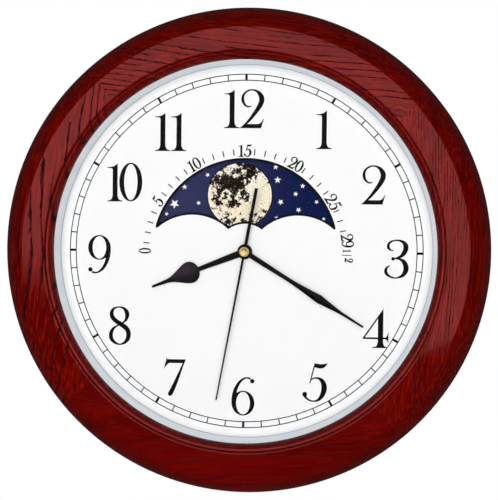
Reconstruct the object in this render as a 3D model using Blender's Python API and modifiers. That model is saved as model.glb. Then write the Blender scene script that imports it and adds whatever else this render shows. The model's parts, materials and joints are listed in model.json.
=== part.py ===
"""Moon phase wall clock: a wooden ring, a dial with a moon window, and a quartz movement with its trains.

Metres, +Z up. The clock hangs on the wall plane y = 0 and faces -Y. The origin is the nail's seat in the
keyhole plate. All pieces are placed in the clock's own frame, an empty on the hands' axis: there x runs
right and y up as the viewer sees the dial, and z runs from the wall towards the viewer.
"""

import math

import bmesh
import bpy
from mathutils import Matrix

MM = 0.001
GAP = 0.3 * MM  # between pieces that touch

# The wooden ring, from the inside out
SEAT_R = 131.9 * MM  # rebate that holds the glass, the bezel ring, the dial and the spacer
LIP_WIDTH = 4.4 * MM  # of the lip that holds the glass from the front
LEDGE_WIDTH = 8.1 * MM  # of the wider rebate that holds the board
RIM_WIDTH = 27.5 * MM  # of the flat back
SHOULDER_WIDTH = 19.0 * MM  # of the rounded shoulder
GLASS_OPENING_R = SEAT_R - LIP_WIDTH
BEAD_R = SEAT_R - GAP
LEDGE_R = SEAT_R + LEDGE_WIDTH
FRAME_R = LEDGE_R + RIM_WIDTH
SHOULDER_R = FRAME_R - SHOULDER_WIDTH
FRAME_DEPTH = 50.0 * MM
FRAME_TURN = math.radians(4)  # of the mitres, clockwise from the diagonals
SHOULDER_DEPTH = 46.4 * MM
SHOULDER_FOOT = 8.0 * MM
SHOULDER_START = math.radians(25)  # where its arc begins, so that it meets the face at an edge
BEAD_STEP = 0.8 * MM
COVE_DEPTH = 43.4 * MM
BACK_ROUND = 3.0 * MM
FRAME_STEPS = 12

# The stack of flat pieces, from the wall to the viewer
CASE_REAR = 1.0 * MM
CELL_R = 7.0 * MM
CASE_DEPTH = 2 * (CELL_R + GAP)
PLATE_THICKNESS = 1.2 * MM
BOARD_THICKNESS = 3.0 * MM
SPACER_THICKNESS = 6.0 * MM
DIAL_THICKNESS = 1.0 * MM
BEZEL_HEIGHT = 10.9 * MM
GLASS_THICKNESS = 2.0 * MM

PLATE_BACK = CASE_REAR + CASE_DEPTH + GAP
PLATE_FRONT = PLATE_BACK + PLATE_THICKNESS
BOARD_BACK = PLATE_FRONT + GAP
BOARD_FRONT = BOARD_BACK + BOARD_THICKNESS
SPACER_BACK = BOARD_FRONT + GAP
SPACER_FRONT = SPACER_BACK + SPACER_THICKNESS
DIAL_BACK = SPACER_FRONT + GAP
DIAL_FRONT = DIAL_BACK + DIAL_THICKNESS
BEZEL_BACK = DIAL_FRONT + GAP
BEZEL_FRONT = BEZEL_BACK + BEZEL_HEIGHT
GLASS_BACK = BEZEL_FRONT + GAP
GLASS_FRONT = GLASS_BACK + GLASS_THICKNESS
LIP_BACK = GLASS_FRONT + GAP

# The nut that clamps the movement to the board, and the moon disc in front of it
WASHER_THICKNESS = 0.4 * MM
NUT_HEIGHT = 1.7 * MM
HUB_FLANGE = 0.8 * MM
HUB_RIM = 0.5 * MM  # how far the hub and the moon pipe stand out in front of the disc
MOON_DISC_THICKNESS = 0.6 * MM

WASHER_BACK = BOARD_FRONT + GAP
NUT_BACK = WASHER_BACK + WASHER_THICKNESS + GAP
BUSH_FRONT = NUT_BACK + NUT_HEIGHT
HUB_BACK = BUSH_FRONT + GAP
MOON_DISC_BACK = HUB_BACK + HUB_FLANGE + GAP
MOON_DISC_FRONT = MOON_DISC_BACK + MOON_DISC_THICKNESS
MOON_PIPE_FRONT = MOON_DISC_FRONT + HUB_RIM

STACK_R = SEAT_R - GAP
BEZEL_FLANGE = 3.2 * MM
BEZEL_SLOPE = 2.6 * MM
BEZEL_TOP_R = STACK_R - BEZEL_FLANGE
BEZEL_FOOT_R = BEZEL_TOP_R - BEZEL_SLOPE
BEZEL_WALL = 1.2 * MM
SPACER_WIDTH = 7.0 * MM
BOARD_R = LEDGE_R - GAP

# The moon window: an outer arc, a hump at each side and a small arc over the hands
WINDOW_R = 62.4 * MM
HUMP_R = 37.0 * MM
HUMP_X = 35.9 * MM
HUMP_Y = -11.3 * MM
HUB_ARC_R = 19.9 * MM
DIAL_HOLE_R = 3.3 * MM
MOON_DISC_R = 66.5 * MM
MOON_DISC_HOLE_R = 5.5 * MM
FINGER_WINDOW_X = 52.0 * MM
FINGER_WINDOW_WIDTH = 20.0 * MM
FINGER_WINDOW_HEIGHT = 26.0 * MM

# Fasteners
BOARD_SCREW_INSET = 4.0 * MM
BOARD_SCREW_CIRCLE_R = LEDGE_R - BOARD_SCREW_INSET
BOARD_SCREW_ANGLES = [math.radians(angle) for angle in (30, 120, 210, 300)]
SCREW_SHANK_R = 1.25 * MM
SCREW_HEAD_R = 3.2 * MM
SCREW_HEAD_HEIGHT = 1.8 * MM
SCREW_LENGTH = 14.0 * MM
HANGER_INSET = 12.5 * MM  # of the hanger plate's middle from the ledge
NAIL_RISE = 4.0 * MM  # of the nail's seat over the plate's middle
HANGER_Y = LEDGE_R + HANGER_INSET
NAIL_HEIGHT = HANGER_Y + NAIL_RISE  # of the nail's seat over the hands' axis
HANGER_WIDTH = 46.0 * MM
HANGER_HEIGHT = 18.0 * MM
HANGER_THICKNESS = 1.2 * MM
HANGER_BACK = 0.3 * MM
HANGER_SCREW_X = 18.0 * MM
KEYHOLE_R = 4.5 * MM
KEYHOLE_SLOT_R = 2.4 * MM
KEYHOLE_DROP = 3.2 * MM  # of the round hole's centre under the plate's
NAIL_POCKET_DEPTH = 9.0 * MM

# The hands, by their distance from the axis
HOUR_HAND_ANGLE = math.radians(248.7)
MINUTE_HAND_ANGLE = math.radians(121.8)
SECOND_HAND_ANGLE = math.radians(190.3)
HOUR_HAND_LENGTH = 66.3 * MM
HOUR_BULB_START = 31.6 * MM
HOUR_BULB_END = 53.5 * MM
HOUR_BULB_HALF_WIDTH = 7.2 * MM
HOUR_ROOT = 2.0 * MM  # half widths from here on
HOUR_STEM = 1.35 * MM
HOUR_NECK = 1.2 * MM
HOUR_TIP = 0.7 * MM
MINUTE_HAND_LENGTH = 95.2 * MM
MINUTE_LEAF_START = 36.0 * MM
MINUTE_LEAF_WIDEST = 60.6 * MM
MINUTE_LEAF_END = 80.0 * MM
MINUTE_LEAF_HALF_WIDTH = 3.2 * MM
MINUTE_ROOT = 1.8 * MM
MINUTE_STEM = 1.5 * MM
MINUTE_NECK = 0.9 * MM
MINUTE_TIP = 0.6 * MM
SECOND_HAND_LENGTH = 100.8 * MM
SECOND_TAIL_LENGTH = 43.5 * MM
SECOND_HALF_WIDTH = 0.75 * MM
HAND_THICKNESS = 0.5 * MM
BOSS_R = 5.2 * MM
CAP_R = 3.8 * MM

# Coaxial pipes, from the inside out: outer radius of each, with a running clearance to the next
PIPE_CLEARANCE = 0.3 * MM
SECOND_ARBOR_R = 0.45 * MM
MINUTE_PIPE_R = 1.6 * MM
HOUR_PIPE_R = 2.55 * MM
MOON_PIPE_R = 3.75 * MM
BUSH_R = 5.0 * MM
MINUTE_BORE_R = SECOND_ARBOR_R + PIPE_CLEARANCE
HOUR_BORE_R = MINUTE_PIPE_R + PIPE_CLEARANCE
MOON_BORE_R = HOUR_PIPE_R + PIPE_CLEARANCE
BUSH_BORE_R = MOON_PIPE_R + PIPE_CLEARANCE
NUT_ACROSS_FLATS = 14.0 * MM
WASHER_R = 9.0 * MM

# Heights at which the hands sit on their pipes
HOUR_HAND_LIFT = 1.2 * MM
MINUTE_HAND_LIFT = 1.8 * MM
SECOND_HAND_LIFT = 1.9 * MM
HOUR_HAND_BACK = DIAL_FRONT + HOUR_HAND_LIFT
MINUTE_HAND_BACK = HOUR_HAND_BACK + MINUTE_HAND_LIFT
SECOND_HAND_BACK = MINUTE_HAND_BACK + SECOND_HAND_LIFT
COLLAR_BACK = 0.6 * MM  # how far a hand's collar reaches behind its blade
COLLAR_WALL = 1.4 * MM
STUD_HEIGHT = 1.0 * MM  # under the cap
CAP_RIM = 0.5 * MM
CAP_DOME = 1.2 * MM

# The movement
CASE_SIZE = 56.0 * MM
CASE_WALL = 1.2 * MM
CASE_CORNER = 3.0 * MM
CASE_HALF = CASE_SIZE / 2
ROOM_HALF = CASE_HALF - CASE_WALL  # half of the room inside the walls
REAR_WALL = CASE_REAR + CASE_WALL
CASE_FRONT = CASE_REAR + CASE_DEPTH
BAY_WALL_Y = -ROOM_HALF + 2 * (CELL_R + GAP)  # top of the battery bay
DIVIDER_TOP = BAY_WALL_Y + CASE_WALL
FITTING_EDGE = ROOM_HALF - CASE_WALL  # how far out the bridge and the circuit board reach
NOTCH_HALF_WIDTH = 8.0 * MM
CONTACT_SLOT = 1.0 * MM
CELL_LENGTH = 49.4 * MM
CELL_X = -0.15 * MM  # midway between the contacts
CELL_EDGE = 0.6 * MM
NUB_R = 2.6 * MM
NUB_LENGTH = 1.0 * MM
BRIDGE_LAYER = 3
BRIDGE_THICKNESS = 0.8 * MM
BRIDGE_LOW = DIVIDER_TOP + 0.8 * MM
BRIDGE_CORNER = 2.0 * MM
ARBOR_R = 0.5 * MM
PIVOT_R = 0.35 * MM
PIVOT_HOLE_R = PIVOT_R + GAP
PILLAR_R = 1.8 * MM
PILLAR_PIN_R = 1.0 * MM
BOSS_HEIGHT = 0.8 * MM
BEARING_BOSS_R = 1.3 * MM
KNOB_WELL_R = 6.2 * MM
KNOB_WELL_DEPTH = 3.4 * MM
KNOB_WELL_WALL = 0.8 * MM
KNOB_FLUTES = 14

# Layers of wheels, from the rear wall to the front plate
LAYER_START = 6.7 * MM
LAYER_PITCH = 0.9 * MM
WHEEL_THICKNESS = 0.6 * MM
PINION_OVERLAP = 0.1 * MM

# Gear teeth: heights in modules, widths as shares of the pitch
ADDENDUM = 0.7
DEDENDUM = 1.3
WHEEL_TIP = 0.14
WHEEL_ROOT = 1.0
PINION_TIP = 0.2
PINION_ROOT = 0.42

# Numbers of teeth
PINION_LEAVES = 6
FIFTH_TEETH = 36
SECOND_TEETH = 30
THIRD_TEETH = 48
CENTRE_TEETH = 45
MINUTE_PINION_TEETH = 10
MINUTE_WHEEL_TEETH = 40
HOUR_PINION_TEETH = 8
HOUR_WHEEL_TEETH = 24
MOON_1_TEETH = 59
MOON_2_TEETH = 36
MOON_PIPE_TEETH = 36

# Distances between arbors that two meshes share, and the modules that follow from them
THIRD_DISTANCE = 8.1 * MM
MINUTE_WHEEL_DISTANCE = 10.0 * MM
ROTOR_MODULE = 0.25 * MM
FIFTH_MODULE = 0.35 * MM
MOON_1_MODULE = 0.35 * MM
MOON_2_MODULE = 0.33 * MM
MOON_PIPE_MODULE = 0.45 * MM


def module_for(distance, teeth, leaves):
    return 2 * distance / (teeth + leaves)


def distance_for(module, teeth, leaves):
    return module * (teeth + leaves) / 2


THIRD_MODULE = module_for(THIRD_DISTANCE, THIRD_TEETH, PINION_LEAVES)
CENTRE_MODULE = module_for(THIRD_DISTANCE, CENTRE_TEETH, PINION_LEAVES)
MINUTE_MODULE = module_for(MINUTE_WHEEL_DISTANCE, MINUTE_WHEEL_TEETH, MINUTE_PINION_TEETH)
HOUR_MODULE = module_for(MINUTE_WHEEL_DISTANCE, HOUR_WHEEL_TEETH, HOUR_PINION_TEETH)


def polar(centre, distance, angle):
    return (centre[0] + distance * math.cos(angle), centre[1] + distance * math.sin(angle))


def towards(a, b):
    return math.atan2(b[1] - a[1], b[0] - a[0])


def meeting_point(a, a_distance, b, b_distance):
    """The point at those distances from a and b that lies to the left on the way from a to b."""
    between = math.dist(a, b)
    along = (a_distance**2 - b_distance**2 + between**2) / (2 * between)
    aside = math.sqrt(a_distance**2 - along**2)
    ux, uy = (b[0] - a[0]) / between, (b[1] - a[1]) / between
    return (a[0] + along * ux - aside * uy, a[1] + along * uy + aside * ux)


# Where the arbors stand
AXIS = (0.0, 0.0)
THIRD_AT = polar(AXIS, THIRD_DISTANCE, math.radians(170))
FIFTH_AT = polar(AXIS, distance_for(FIFTH_MODULE, SECOND_TEETH, PINION_LEAVES), math.radians(90))
ROTOR_AT = polar(FIFTH_AT, distance_for(ROTOR_MODULE, FIFTH_TEETH, PINION_LEAVES), math.radians(95))
MINUTE_WHEEL_AT = polar(AXIS, MINUTE_WHEEL_DISTANCE, math.radians(20))
MOON_1_AT = polar(
    MINUTE_WHEEL_AT, distance_for(MOON_1_MODULE, MOON_1_TEETH, PINION_LEAVES), math.radians(110)
)
MOON_2_AT = meeting_point(
    AXIS,
    distance_for(MOON_PIPE_MODULE, MOON_PIPE_TEETH, PINION_LEAVES),
    MOON_1_AT,
    distance_for(MOON_2_MODULE, MOON_2_TEETH, PINION_LEAVES),
)

# The stepper motor
MAGNET_R = 2.5 * MM
MAGNET_BACK = 3.2 * MM
MAGNET_HEIGHT = 2.8 * MM
STATOR_HOLE_R = 2.9 * MM
STATOR_BACK = 4.2 * MM
STATOR_THICKNESS = 1.0 * MM
STATOR_REACH = 3.7 * MM  # from the rotor to the stator's lower edge
COIL_Y = 21.0 * MM
COIL_FLANGE_R = 3.2 * MM
COIL_TUBE_R = 2.0 * MM
COIL_BORE_R = 1.6 * MM
COIL_WINDING_R = 2.9 * MM
COIL_LENGTH = 20.6 * MM
COIL_FLANGE = 0.8 * MM
CORE_LENGTH = 30.0 * MM
CORE_WIDTH = 2.4 * MM
CORE_THICKNESS = 0.8 * MM
STATOR_END_MARGIN = 0.4 * MM  # of the stator's ends around the core
STATOR_WAIST = 1.0 * MM  # narrowest wall beside the rotor's hole
CORE_BACK = STATOR_BACK + STATOR_THICKNESS + GAP
ARM_WIDTH = 4.0 * MM
CONTACT_THICKNESS = 0.4 * MM
CONTACT_BACK = 3.0 * MM
CONTACT_HEIGHT = 3.6 * MM
CONTACT_BULGE = 0.7 * MM
CONTACT_FOOT = 2.0 * MM  # from the bay's floor to the springs
CONTACT_TAIL_Y = DIVIDER_TOP + GAP
CIRCUIT_LEFT = -FITTING_EDGE
CIRCUIT_WIDTH = 10.0 * MM
CIRCUIT_RIGHT = CIRCUIT_LEFT + CIRCUIT_WIDTH
CIRCUIT_LOW = CONTACT_TAIL_Y + CONTACT_THICKNESS + 2 * GAP
CIRCUIT_HIGH = 14.0 * MM
CIRCUIT_BACK = 3.0 * MM
CIRCUIT_THICKNESS = 0.8 * MM
CRYSTAL_R = 1.5 * MM
CRYSTAL_LENGTH = 6.2 * MM

COLOURS = {
    "lacquered_wood": ((0.23, 0.035, 0.02, 1), 0.25, 0.0),
    "glass": ((0.95, 0.98, 1.0, 1), 0.03, 0.0),
    "silver_paint": ((0.72, 0.77, 0.82, 1), 0.35, 0.2),
    "dial_white": ((0.93, 0.93, 0.93, 1), 0.5, 0.0),
    "fibreboard": ((0.29, 0.19, 0.11, 1), 0.8, 0.0),
    "night_blue": ((0.02, 0.03, 0.12, 1), 0.5, 0.0),
    "black_paint": ((0.01, 0.01, 0.012, 1), 0.3, 0.0),
    "brass": ((0.8, 0.6, 0.28, 1), 0.25, 1.0),
    "steel": ((0.6, 0.6, 0.62, 1), 0.3, 1.0),
    "black_plastic": ((0.02, 0.02, 0.022, 1), 0.45, 0.0),
    "white_plastic": ((0.85, 0.84, 0.8, 1), 0.45, 0.0),
    "copper_wire": ((0.7, 0.3, 0.12, 1), 0.35, 1.0),
    "circuit_green": ((0.03, 0.2, 0.07, 1), 0.5, 0.0),
    "magnet": ((0.12, 0.12, 0.13, 1), 0.4, 0.8),
    "cell_wrap": ((0.05, 0.16, 0.3, 1), 0.35, 0.0),
}


def clear_scene():
    for obj in list(bpy.data.objects):
        bpy.data.objects.remove(obj, do_unlink=True)


def make_material(name):
    colour, roughness, metallic = COLOURS[name]
    material = bpy.data.materials.new(name)
    material.use_nodes = True
    shader = material.node_tree.nodes["Principled BSDF"]
    shader.inputs["Base Color"].default_value = colour
    shader.inputs["Roughness"].default_value = roughness
    shader.inputs["Metallic"].default_value = metallic
    return material


clear_scene()
PARTS = bpy.data.collections.new("moon_phase_wall_clock")
CUTTERS = bpy.data.collections.new("cutters")
bpy.context.scene.collection.children.link(PARTS)
bpy.context.scene.collection.children.link(CUTTERS)
MATERIALS = {name: make_material(name) for name in COLOURS}

CLOCK = bpy.data.objects.new("clock_axis", None)
CLOCK.location = (0, 0, -NAIL_HEIGHT)
CLOCK.rotation_euler = (math.radians(90), 0, 0)
PARTS.objects.link(CLOCK)


def add(name, mesh, material, at=AXIS, turn=0.0, tilt=(0.0, 0.0), height=0.0):
    """An object in the clock's frame: at is its origin, turn its angle about z, height its place along z."""
    obj = bpy.data.objects.new(name, mesh)
    obj.parent = CLOCK
    obj.location = (at[0], at[1], height)
    obj.rotation_euler = (tilt[0], tilt[1], turn)
    if material:
        mesh.materials.clear()
        mesh.materials.append(MATERIALS[material])
        mesh.shade_smooth()
        mesh.set_sharp_from_angle(angle=math.radians(35))
        PARTS.objects.link(obj)
    else:
        obj.hide_render = True
        obj.display_type = "WIRE"
        CUTTERS.objects.link(obj)
    return obj


def combine(obj, operation, tools):
    """Boolean modifiers on obj, one for each tool."""
    for tool in tools:
        boolean = obj.modifiers.new(tool.name, "BOOLEAN")
        boolean.operation = operation
        boolean.object = tool
    return obj


def cut(obj, *tools):
    return combine(obj, "DIFFERENCE", tools)


def fuse(obj, *tools):
    return combine(obj, "UNION", tools)


def turned(name, profile, material, at=AXIS, steps=32, tilt=(0.0, 0.0), height=0.0):
    """A profile of (radius, z) points that runs down its outer side, turned about z.

    Where it starts and ends on the axis it is left open, and otherwise it is closed into a ring."""
    mesh = bpy.data.meshes.new(name)
    edges = [(i, i + 1) for i in range(len(profile) - 1)]
    if profile[0][0] > 0:
        edges.append((len(profile) - 1, 0))
    mesh.from_pydata([(r, 0, z) for r, z in profile], edges, [])
    obj = add(name, mesh, material, at, 0.0, tilt, height)
    screw = obj.modifiers.new("turn", "SCREW")
    screw.steps = steps
    screw.render_steps = steps
    screw.use_merge_vertices = True
    screw.merge_threshold = 0.00001
    screw.use_smooth_shade = bool(material)
    return obj


def rod(name, radius, low, high, material=None, at=AXIS, steps=16):
    return turned(name, [(0, high), (radius, high), (radius, low), (0, low)], material, at, steps)


def tube(name, inner, outer, low, high, material=None, at=AXIS, steps=16):
    profile = [(outer, high), (outer, low), (inner, low), (inner, high)]
    return turned(name, profile, material, at, steps)


def box(name, low, high, material=None):
    mesh = bpy.data.meshes.new(name)
    bm = bmesh.new()
    bmesh.ops.create_cube(bm, size=1.0)
    size = [b - a for a, b in zip(low, high)]
    middle = [(a + b) / 2 for a, b in zip(low, high)]
    bmesh.ops.transform(bm, matrix=Matrix.Translation(middle) @ Matrix.Diagonal((*size, 1)), verts=bm.verts)
    bm.to_mesh(mesh)
    bm.free()
    return add(name, mesh, material)


def flat(name, outlines, low, high, material=None, at=AXIS, turn=0.0):
    """A plate from z = low to high: the first outline is its edge and the others are its holes."""
    curve = bpy.data.curves.new(name, "CURVE")
    curve.dimensions = "2D"
    curve.fill_mode = "BOTH"
    curve.extrude = (high - low) / 2
    for outline in outlines:
        spline = curve.splines.new("POLY")
        spline.points.add(len(outline) - 1)
        for point, (x, y) in zip(spline.points, outline):
            point.co = (x, y, 0, 1)
        spline.use_cyclic_u = True
    shape = bpy.data.objects.new(name, curve)
    bpy.context.scene.collection.objects.link(shape)
    graph = bpy.context.evaluated_depsgraph_get()
    mesh = bpy.data.meshes.new_from_object(shape.evaluated_get(graph))
    bpy.data.objects.remove(shape, do_unlink=True)
    bm = bmesh.new()
    bm.from_mesh(mesh)
    bmesh.ops.remove_doubles(bm, verts=bm.verts, dist=0.000001)
    bmesh.ops.transform(bm, matrix=Matrix.Translation((0, 0, (low + high) / 2)), verts=bm.verts)
    bmesh.ops.recalc_face_normals(bm, faces=bm.faces)
    bm.to_mesh(mesh)
    bm.free()
    return add(name, mesh, material, at, turn)


def arc(centre, radius, start, end, steps):
    """Points on an arc, with both ends."""
    return [polar(centre, radius, start + (end - start) * i / steps) for i in range(steps + 1)]


def circle(radius, steps=48, centre=AXIS):
    return arc(centre, radius, 0, math.tau, steps)[:-1]


def rectangle(low, high, corner=0.0, steps=4):
    """A rectangle's outline, with rounded corners if asked for."""
    if not corner:
        return [low, (high[0], low[1]), high, (low[0], high[1])]
    points = []
    for x, y, start in (
        (high[0] - corner, high[1] - corner, 0),
        (low[0] + corner, high[1] - corner, 1),
        (low[0] + corner, low[1] + corner, 2),
        (high[0] - corner, low[1] + corner, 3),
    ):
        points += arc((x, y), corner, start * math.pi / 2, (start + 1) * math.pi / 2, steps)
    return points


def clockwise(angle):
    """A direction on the dial, clockwise from 12, as an angle from x."""
    return math.pi / 2 - angle


def layer(number):
    """The back and the front of a wheel in that layer."""
    back = LAYER_START + number * LAYER_PITCH
    return back, back + WHEEL_THICKNESS


def frame_profile():
    """The wooden ring's section, from the glass opening over the face and down the outside to the back."""
    cove = arc((BEAD_R, COVE_DEPTH), BEAD_R - GLASS_OPENING_R, math.pi, math.pi / 2, 3)
    sine, cosine = math.sin(SHOULDER_START), math.cos(SHOULDER_START)
    shoulder = [
        (
            SHOULDER_R + SHOULDER_WIDTH * (math.sin(t) - sine) / (1 - sine),
            SHOULDER_FOOT + (SHOULDER_DEPTH - SHOULDER_FOOT) * math.cos(t) / cosine,
        )
        for t in [SHOULDER_START + (math.pi / 2 - SHOULDER_START) * i / 5 for i in range(6)]
    ]
    return [
        (SEAT_R, LIP_BACK),
        (GLASS_OPENING_R, LIP_BACK),
        *cove,
        (BEAD_R, FRAME_DEPTH - BEAD_STEP),
        (BEAD_R + BEAD_STEP, FRAME_DEPTH),
        *shoulder,
        *arc((FRAME_R - BACK_ROUND, BACK_ROUND), BACK_ROUND, 0, -math.pi / 2, 2),
        (LEDGE_R, 0),
        (LEDGE_R, BOARD_FRONT + GAP),
        (SEAT_R, BOARD_FRONT + GAP),
    ]


def frame_segment_mesh():
    """A quarter of the ring, centred on the x axis, less half a glue gap at each end."""
    half = math.pi / 4 - GAP / 2 / GLASS_OPENING_R
    bm = bmesh.new()
    corners = [bm.verts.new((r, 0, z)) for r, z in frame_profile()]
    section = bm.faces.new(corners)
    bmesh.ops.rotate(bm, matrix=Matrix.Rotation(-half, 3, "Z"), verts=bm.verts)
    bmesh.ops.spin(
        bm,
        geom=[section, *section.edges, *section.verts],
        cent=(0, 0, 0),
        axis=(0, 0, 1),
        angle=2 * half,
        steps=FRAME_STEPS,
    )
    open_edges = [edge for edge in bm.edges if edge.is_boundary]
    bmesh.ops.holes_fill(bm, edges=open_edges)
    bmesh.ops.recalc_face_normals(bm, faces=bm.faces)
    mesh = bpy.data.meshes.new("frame_segment")
    bm.to_mesh(mesh)
    bm.free()
    return mesh


def make_frame():
    for number, side in enumerate(("top", "right", "bottom", "left")):
        middle = clockwise(FRAME_TURN + number * math.pi / 2)
        segment = add(f"frame_segment_{side}", frame_segment_mesh(), "lacquered_wood", turn=middle)
        angle = BOARD_SCREW_ANGLES[number]
        hole_at = polar(AXIS, BOARD_SCREW_CIRCLE_R, clockwise(angle))
        hole = rod(
            f"cut_board_screw_{number + 1}",
            SCREW_SHANK_R + GAP,
            BOARD_FRONT - GAP,
            BOARD_BACK + SCREW_LENGTH + GAP,
            at=hole_at,
            steps=12,
        )
        cut(segment, hole)
        if side == "top":
            cut(segment, *hanger_cutters())


def hanger_cutters():
    """The recess for the plate, the deeper pocket for the nail's head and the holes for its two screws."""
    half_width = HANGER_WIDTH / 2 + GAP
    half_height = HANGER_HEIGHT / 2 + GAP
    outside = -GAP
    recess = box(
        "cut_hanger_recess",
        (-half_width, HANGER_Y - half_height, outside),
        (half_width, HANGER_Y + half_height, HANGER_BACK + HANGER_THICKNESS + GAP),
    )
    pocket = box(
        "cut_nail_pocket",
        (-HANGER_SCREW_X / 2, HANGER_Y - HANGER_HEIGHT / 2 + GAP, outside),
        (HANGER_SCREW_X / 2, HANGER_Y + HANGER_HEIGHT / 2 - GAP, NAIL_POCKET_DEPTH),
    )
    holes = [
        rod(
            f"cut_hanger_screw_{number}",
            SCREW_SHANK_R + GAP,
            outside,
            HANGER_BACK + SCREW_LENGTH + GAP,
            at=(side * HANGER_SCREW_X, HANGER_Y),
            steps=12,
        )
        for number, side in ((1, -1), (2, 1))
    ]
    return recess, pocket, *holes


def make_hanger():
    keyhole_y = HANGER_Y - KEYHOLE_DROP
    slot_y = NAIL_HEIGHT - KEYHOLE_SLOT_R
    shoulder = math.asin(KEYHOLE_SLOT_R / KEYHOLE_R)
    keyhole = arc((0, keyhole_y), KEYHOLE_R, math.pi / 2 + shoulder, math.pi * 5 / 2 - shoulder, 16)
    keyhole += arc((0, slot_y), KEYHOLE_SLOT_R, 0, math.pi, 8)
    half = (HANGER_WIDTH / 2, HANGER_HEIGHT / 2)
    outline = rectangle(
        (-half[0], HANGER_Y - half[1]), (half[0], HANGER_Y + half[1]), corner=half[1] / 2, steps=3
    )
    front = HANGER_BACK + HANGER_THICKNESS
    plate = flat("hanger_plate", [outline, keyhole], HANGER_BACK, front, "steel")
    flare = GAP * (SCREW_HEAD_R - SCREW_SHANK_R) / HANGER_THICKNESS
    for number, side in ((1, -1), (2, 1)):
        at = (side * HANGER_SCREW_X, HANGER_Y)
        sink = [
            (0, front + GAP),
            (SCREW_SHANK_R + GAP - flare, front + GAP),
            (SCREW_HEAD_R + GAP + flare, HANGER_BACK - GAP),
            (0, HANGER_BACK - GAP),
        ]
        cut(plate, turned(f"cut_countersink_{number}", sink, None, at, 16))
        screw = [
            (0, HANGER_BACK + SCREW_LENGTH),
            (SCREW_SHANK_R, HANGER_BACK + SCREW_LENGTH - SCREW_SHANK_R),
            (SCREW_SHANK_R, front),
            (SCREW_HEAD_R, HANGER_BACK),
            (0, HANGER_BACK),
        ]
        turned(f"hanger_screw_{number}", screw, "steel", at, 12)


def make_glass():
    edge = GLASS_THICKNESS / 4
    profile = [
        (0, GLASS_FRONT),
        (STACK_R - edge, GLASS_FRONT),
        (STACK_R, GLASS_FRONT - edge),
        (STACK_R, GLASS_BACK),
        (0, GLASS_BACK),
    ]
    turned("glass", profile, "glass", steps=40)


def make_bezel_ring():
    """A moulded ring with a flange at the glass, a flange at the dial and a sloping wall between them."""
    low = BEZEL_BACK + BEZEL_WALL
    high = BEZEL_FRONT - BEZEL_WALL
    profile = [
        (STACK_R, BEZEL_FRONT),
        (STACK_R, high),
        (BEZEL_TOP_R + BEZEL_WALL, high),
        (BEZEL_FOOT_R + BEZEL_WALL, low),
        (STACK_R, low),
        (STACK_R, BEZEL_BACK),
        (BEZEL_FOOT_R, BEZEL_BACK),
        (BEZEL_TOP_R, BEZEL_FRONT),
    ]
    turned("bezel_ring", profile, "silver_paint", steps=40)


def window_outline():
    """The moon window: the outer arc from right to left, then hump, hub arc and hump back to the right."""
    humps = [(-HUMP_X, HUMP_Y), (HUMP_X, HUMP_Y)]
    left_hump, right_hump = humps
    left_corner = meeting_point(left_hump, HUMP_R, AXIS, WINDOW_R)
    left_inner = meeting_point(left_hump, HUMP_R, AXIS, HUB_ARC_R)
    right_corner = (-left_corner[0], left_corner[1])
    right_inner = (-left_inner[0], left_inner[1])
    points = arc(AXIS, WINDOW_R, towards(AXIS, right_corner), towards(AXIS, left_corner), 28)
    points += arc(
        left_hump, HUMP_R, towards(left_hump, left_corner), towards(left_hump, left_inner), 12
    )[1:]
    points += arc(AXIS, HUB_ARC_R, towards(AXIS, left_inner), towards(AXIS, right_inner), 8)[1:]
    points += arc(
        right_hump, HUMP_R, towards(right_hump, right_inner), towards(right_hump, right_corner), 12
    )[1:-1]
    return points


def make_dial():
    outlines = [circle(STACK_R, 60), window_outline(), circle(DIAL_HOLE_R, 16)]
    flat("dial", outlines, DIAL_BACK, DIAL_FRONT, "dial_white")
    tube(
        "dial_spacer_ring",
        STACK_R - SPACER_WIDTH,
        STACK_R,
        SPACER_BACK,
        SPACER_FRONT,
        "fibreboard",
        steps=40,
    )


def make_back_board():
    half = FINGER_WINDOW_HEIGHT / 2
    finger_window = rectangle(
        (FINGER_WINDOW_X, -half), (FINGER_WINDOW_X + FINGER_WINDOW_WIDTH, half), corner=half / 2
    )
    outlines = [circle(BOARD_R, 60), circle(BUSH_R + GAP, 16), finger_window]
    for number, angle in enumerate(BOARD_SCREW_ANGLES, 1):
        at = polar(AXIS, BOARD_SCREW_CIRCLE_R, clockwise(angle))
        outlines.append(circle(SCREW_SHANK_R + GAP, 8, at))
        head_front = BOARD_BACK - GAP
        head_back = head_front - SCREW_HEAD_HEIGHT
        screw = [
            (0, BOARD_BACK + SCREW_LENGTH),
            (SCREW_SHANK_R, BOARD_BACK + SCREW_LENGTH - SCREW_SHANK_R),
            (SCREW_SHANK_R, head_front),
            (SCREW_HEAD_R, head_front),
            (SCREW_HEAD_R, head_back + SCREW_HEAD_HEIGHT / 2),
            (SCREW_HEAD_R / 2, head_back),
            (0, head_back),
        ]
        turned(f"board_screw_{number}", screw, "steel", at, 10)
    flat("back_board", outlines, BOARD_BACK, BOARD_FRONT, "fibreboard")


def make_moon_disc():
    flange_front = HUB_BACK + HUB_FLANGE
    bore = MOON_PIPE_R + PIPE_CLEARANCE
    flat(
        "moon_disc",
        [circle(MOON_DISC_R, 60), circle(MOON_DISC_HOLE_R, 16)],
        MOON_DISC_BACK,
        MOON_DISC_FRONT,
        "night_blue",
    )
    sleeve = MOON_DISC_HOLE_R - GAP
    profile = [
        (sleeve, MOON_PIPE_FRONT),
        (sleeve, flange_front),
        (WASHER_R, flange_front),
        (WASHER_R, HUB_BACK),
        (bore, HUB_BACK),
        (bore, MOON_PIPE_FRONT),
    ]
    turned("moon_disc_hub", profile, "brass", steps=16)


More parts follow.
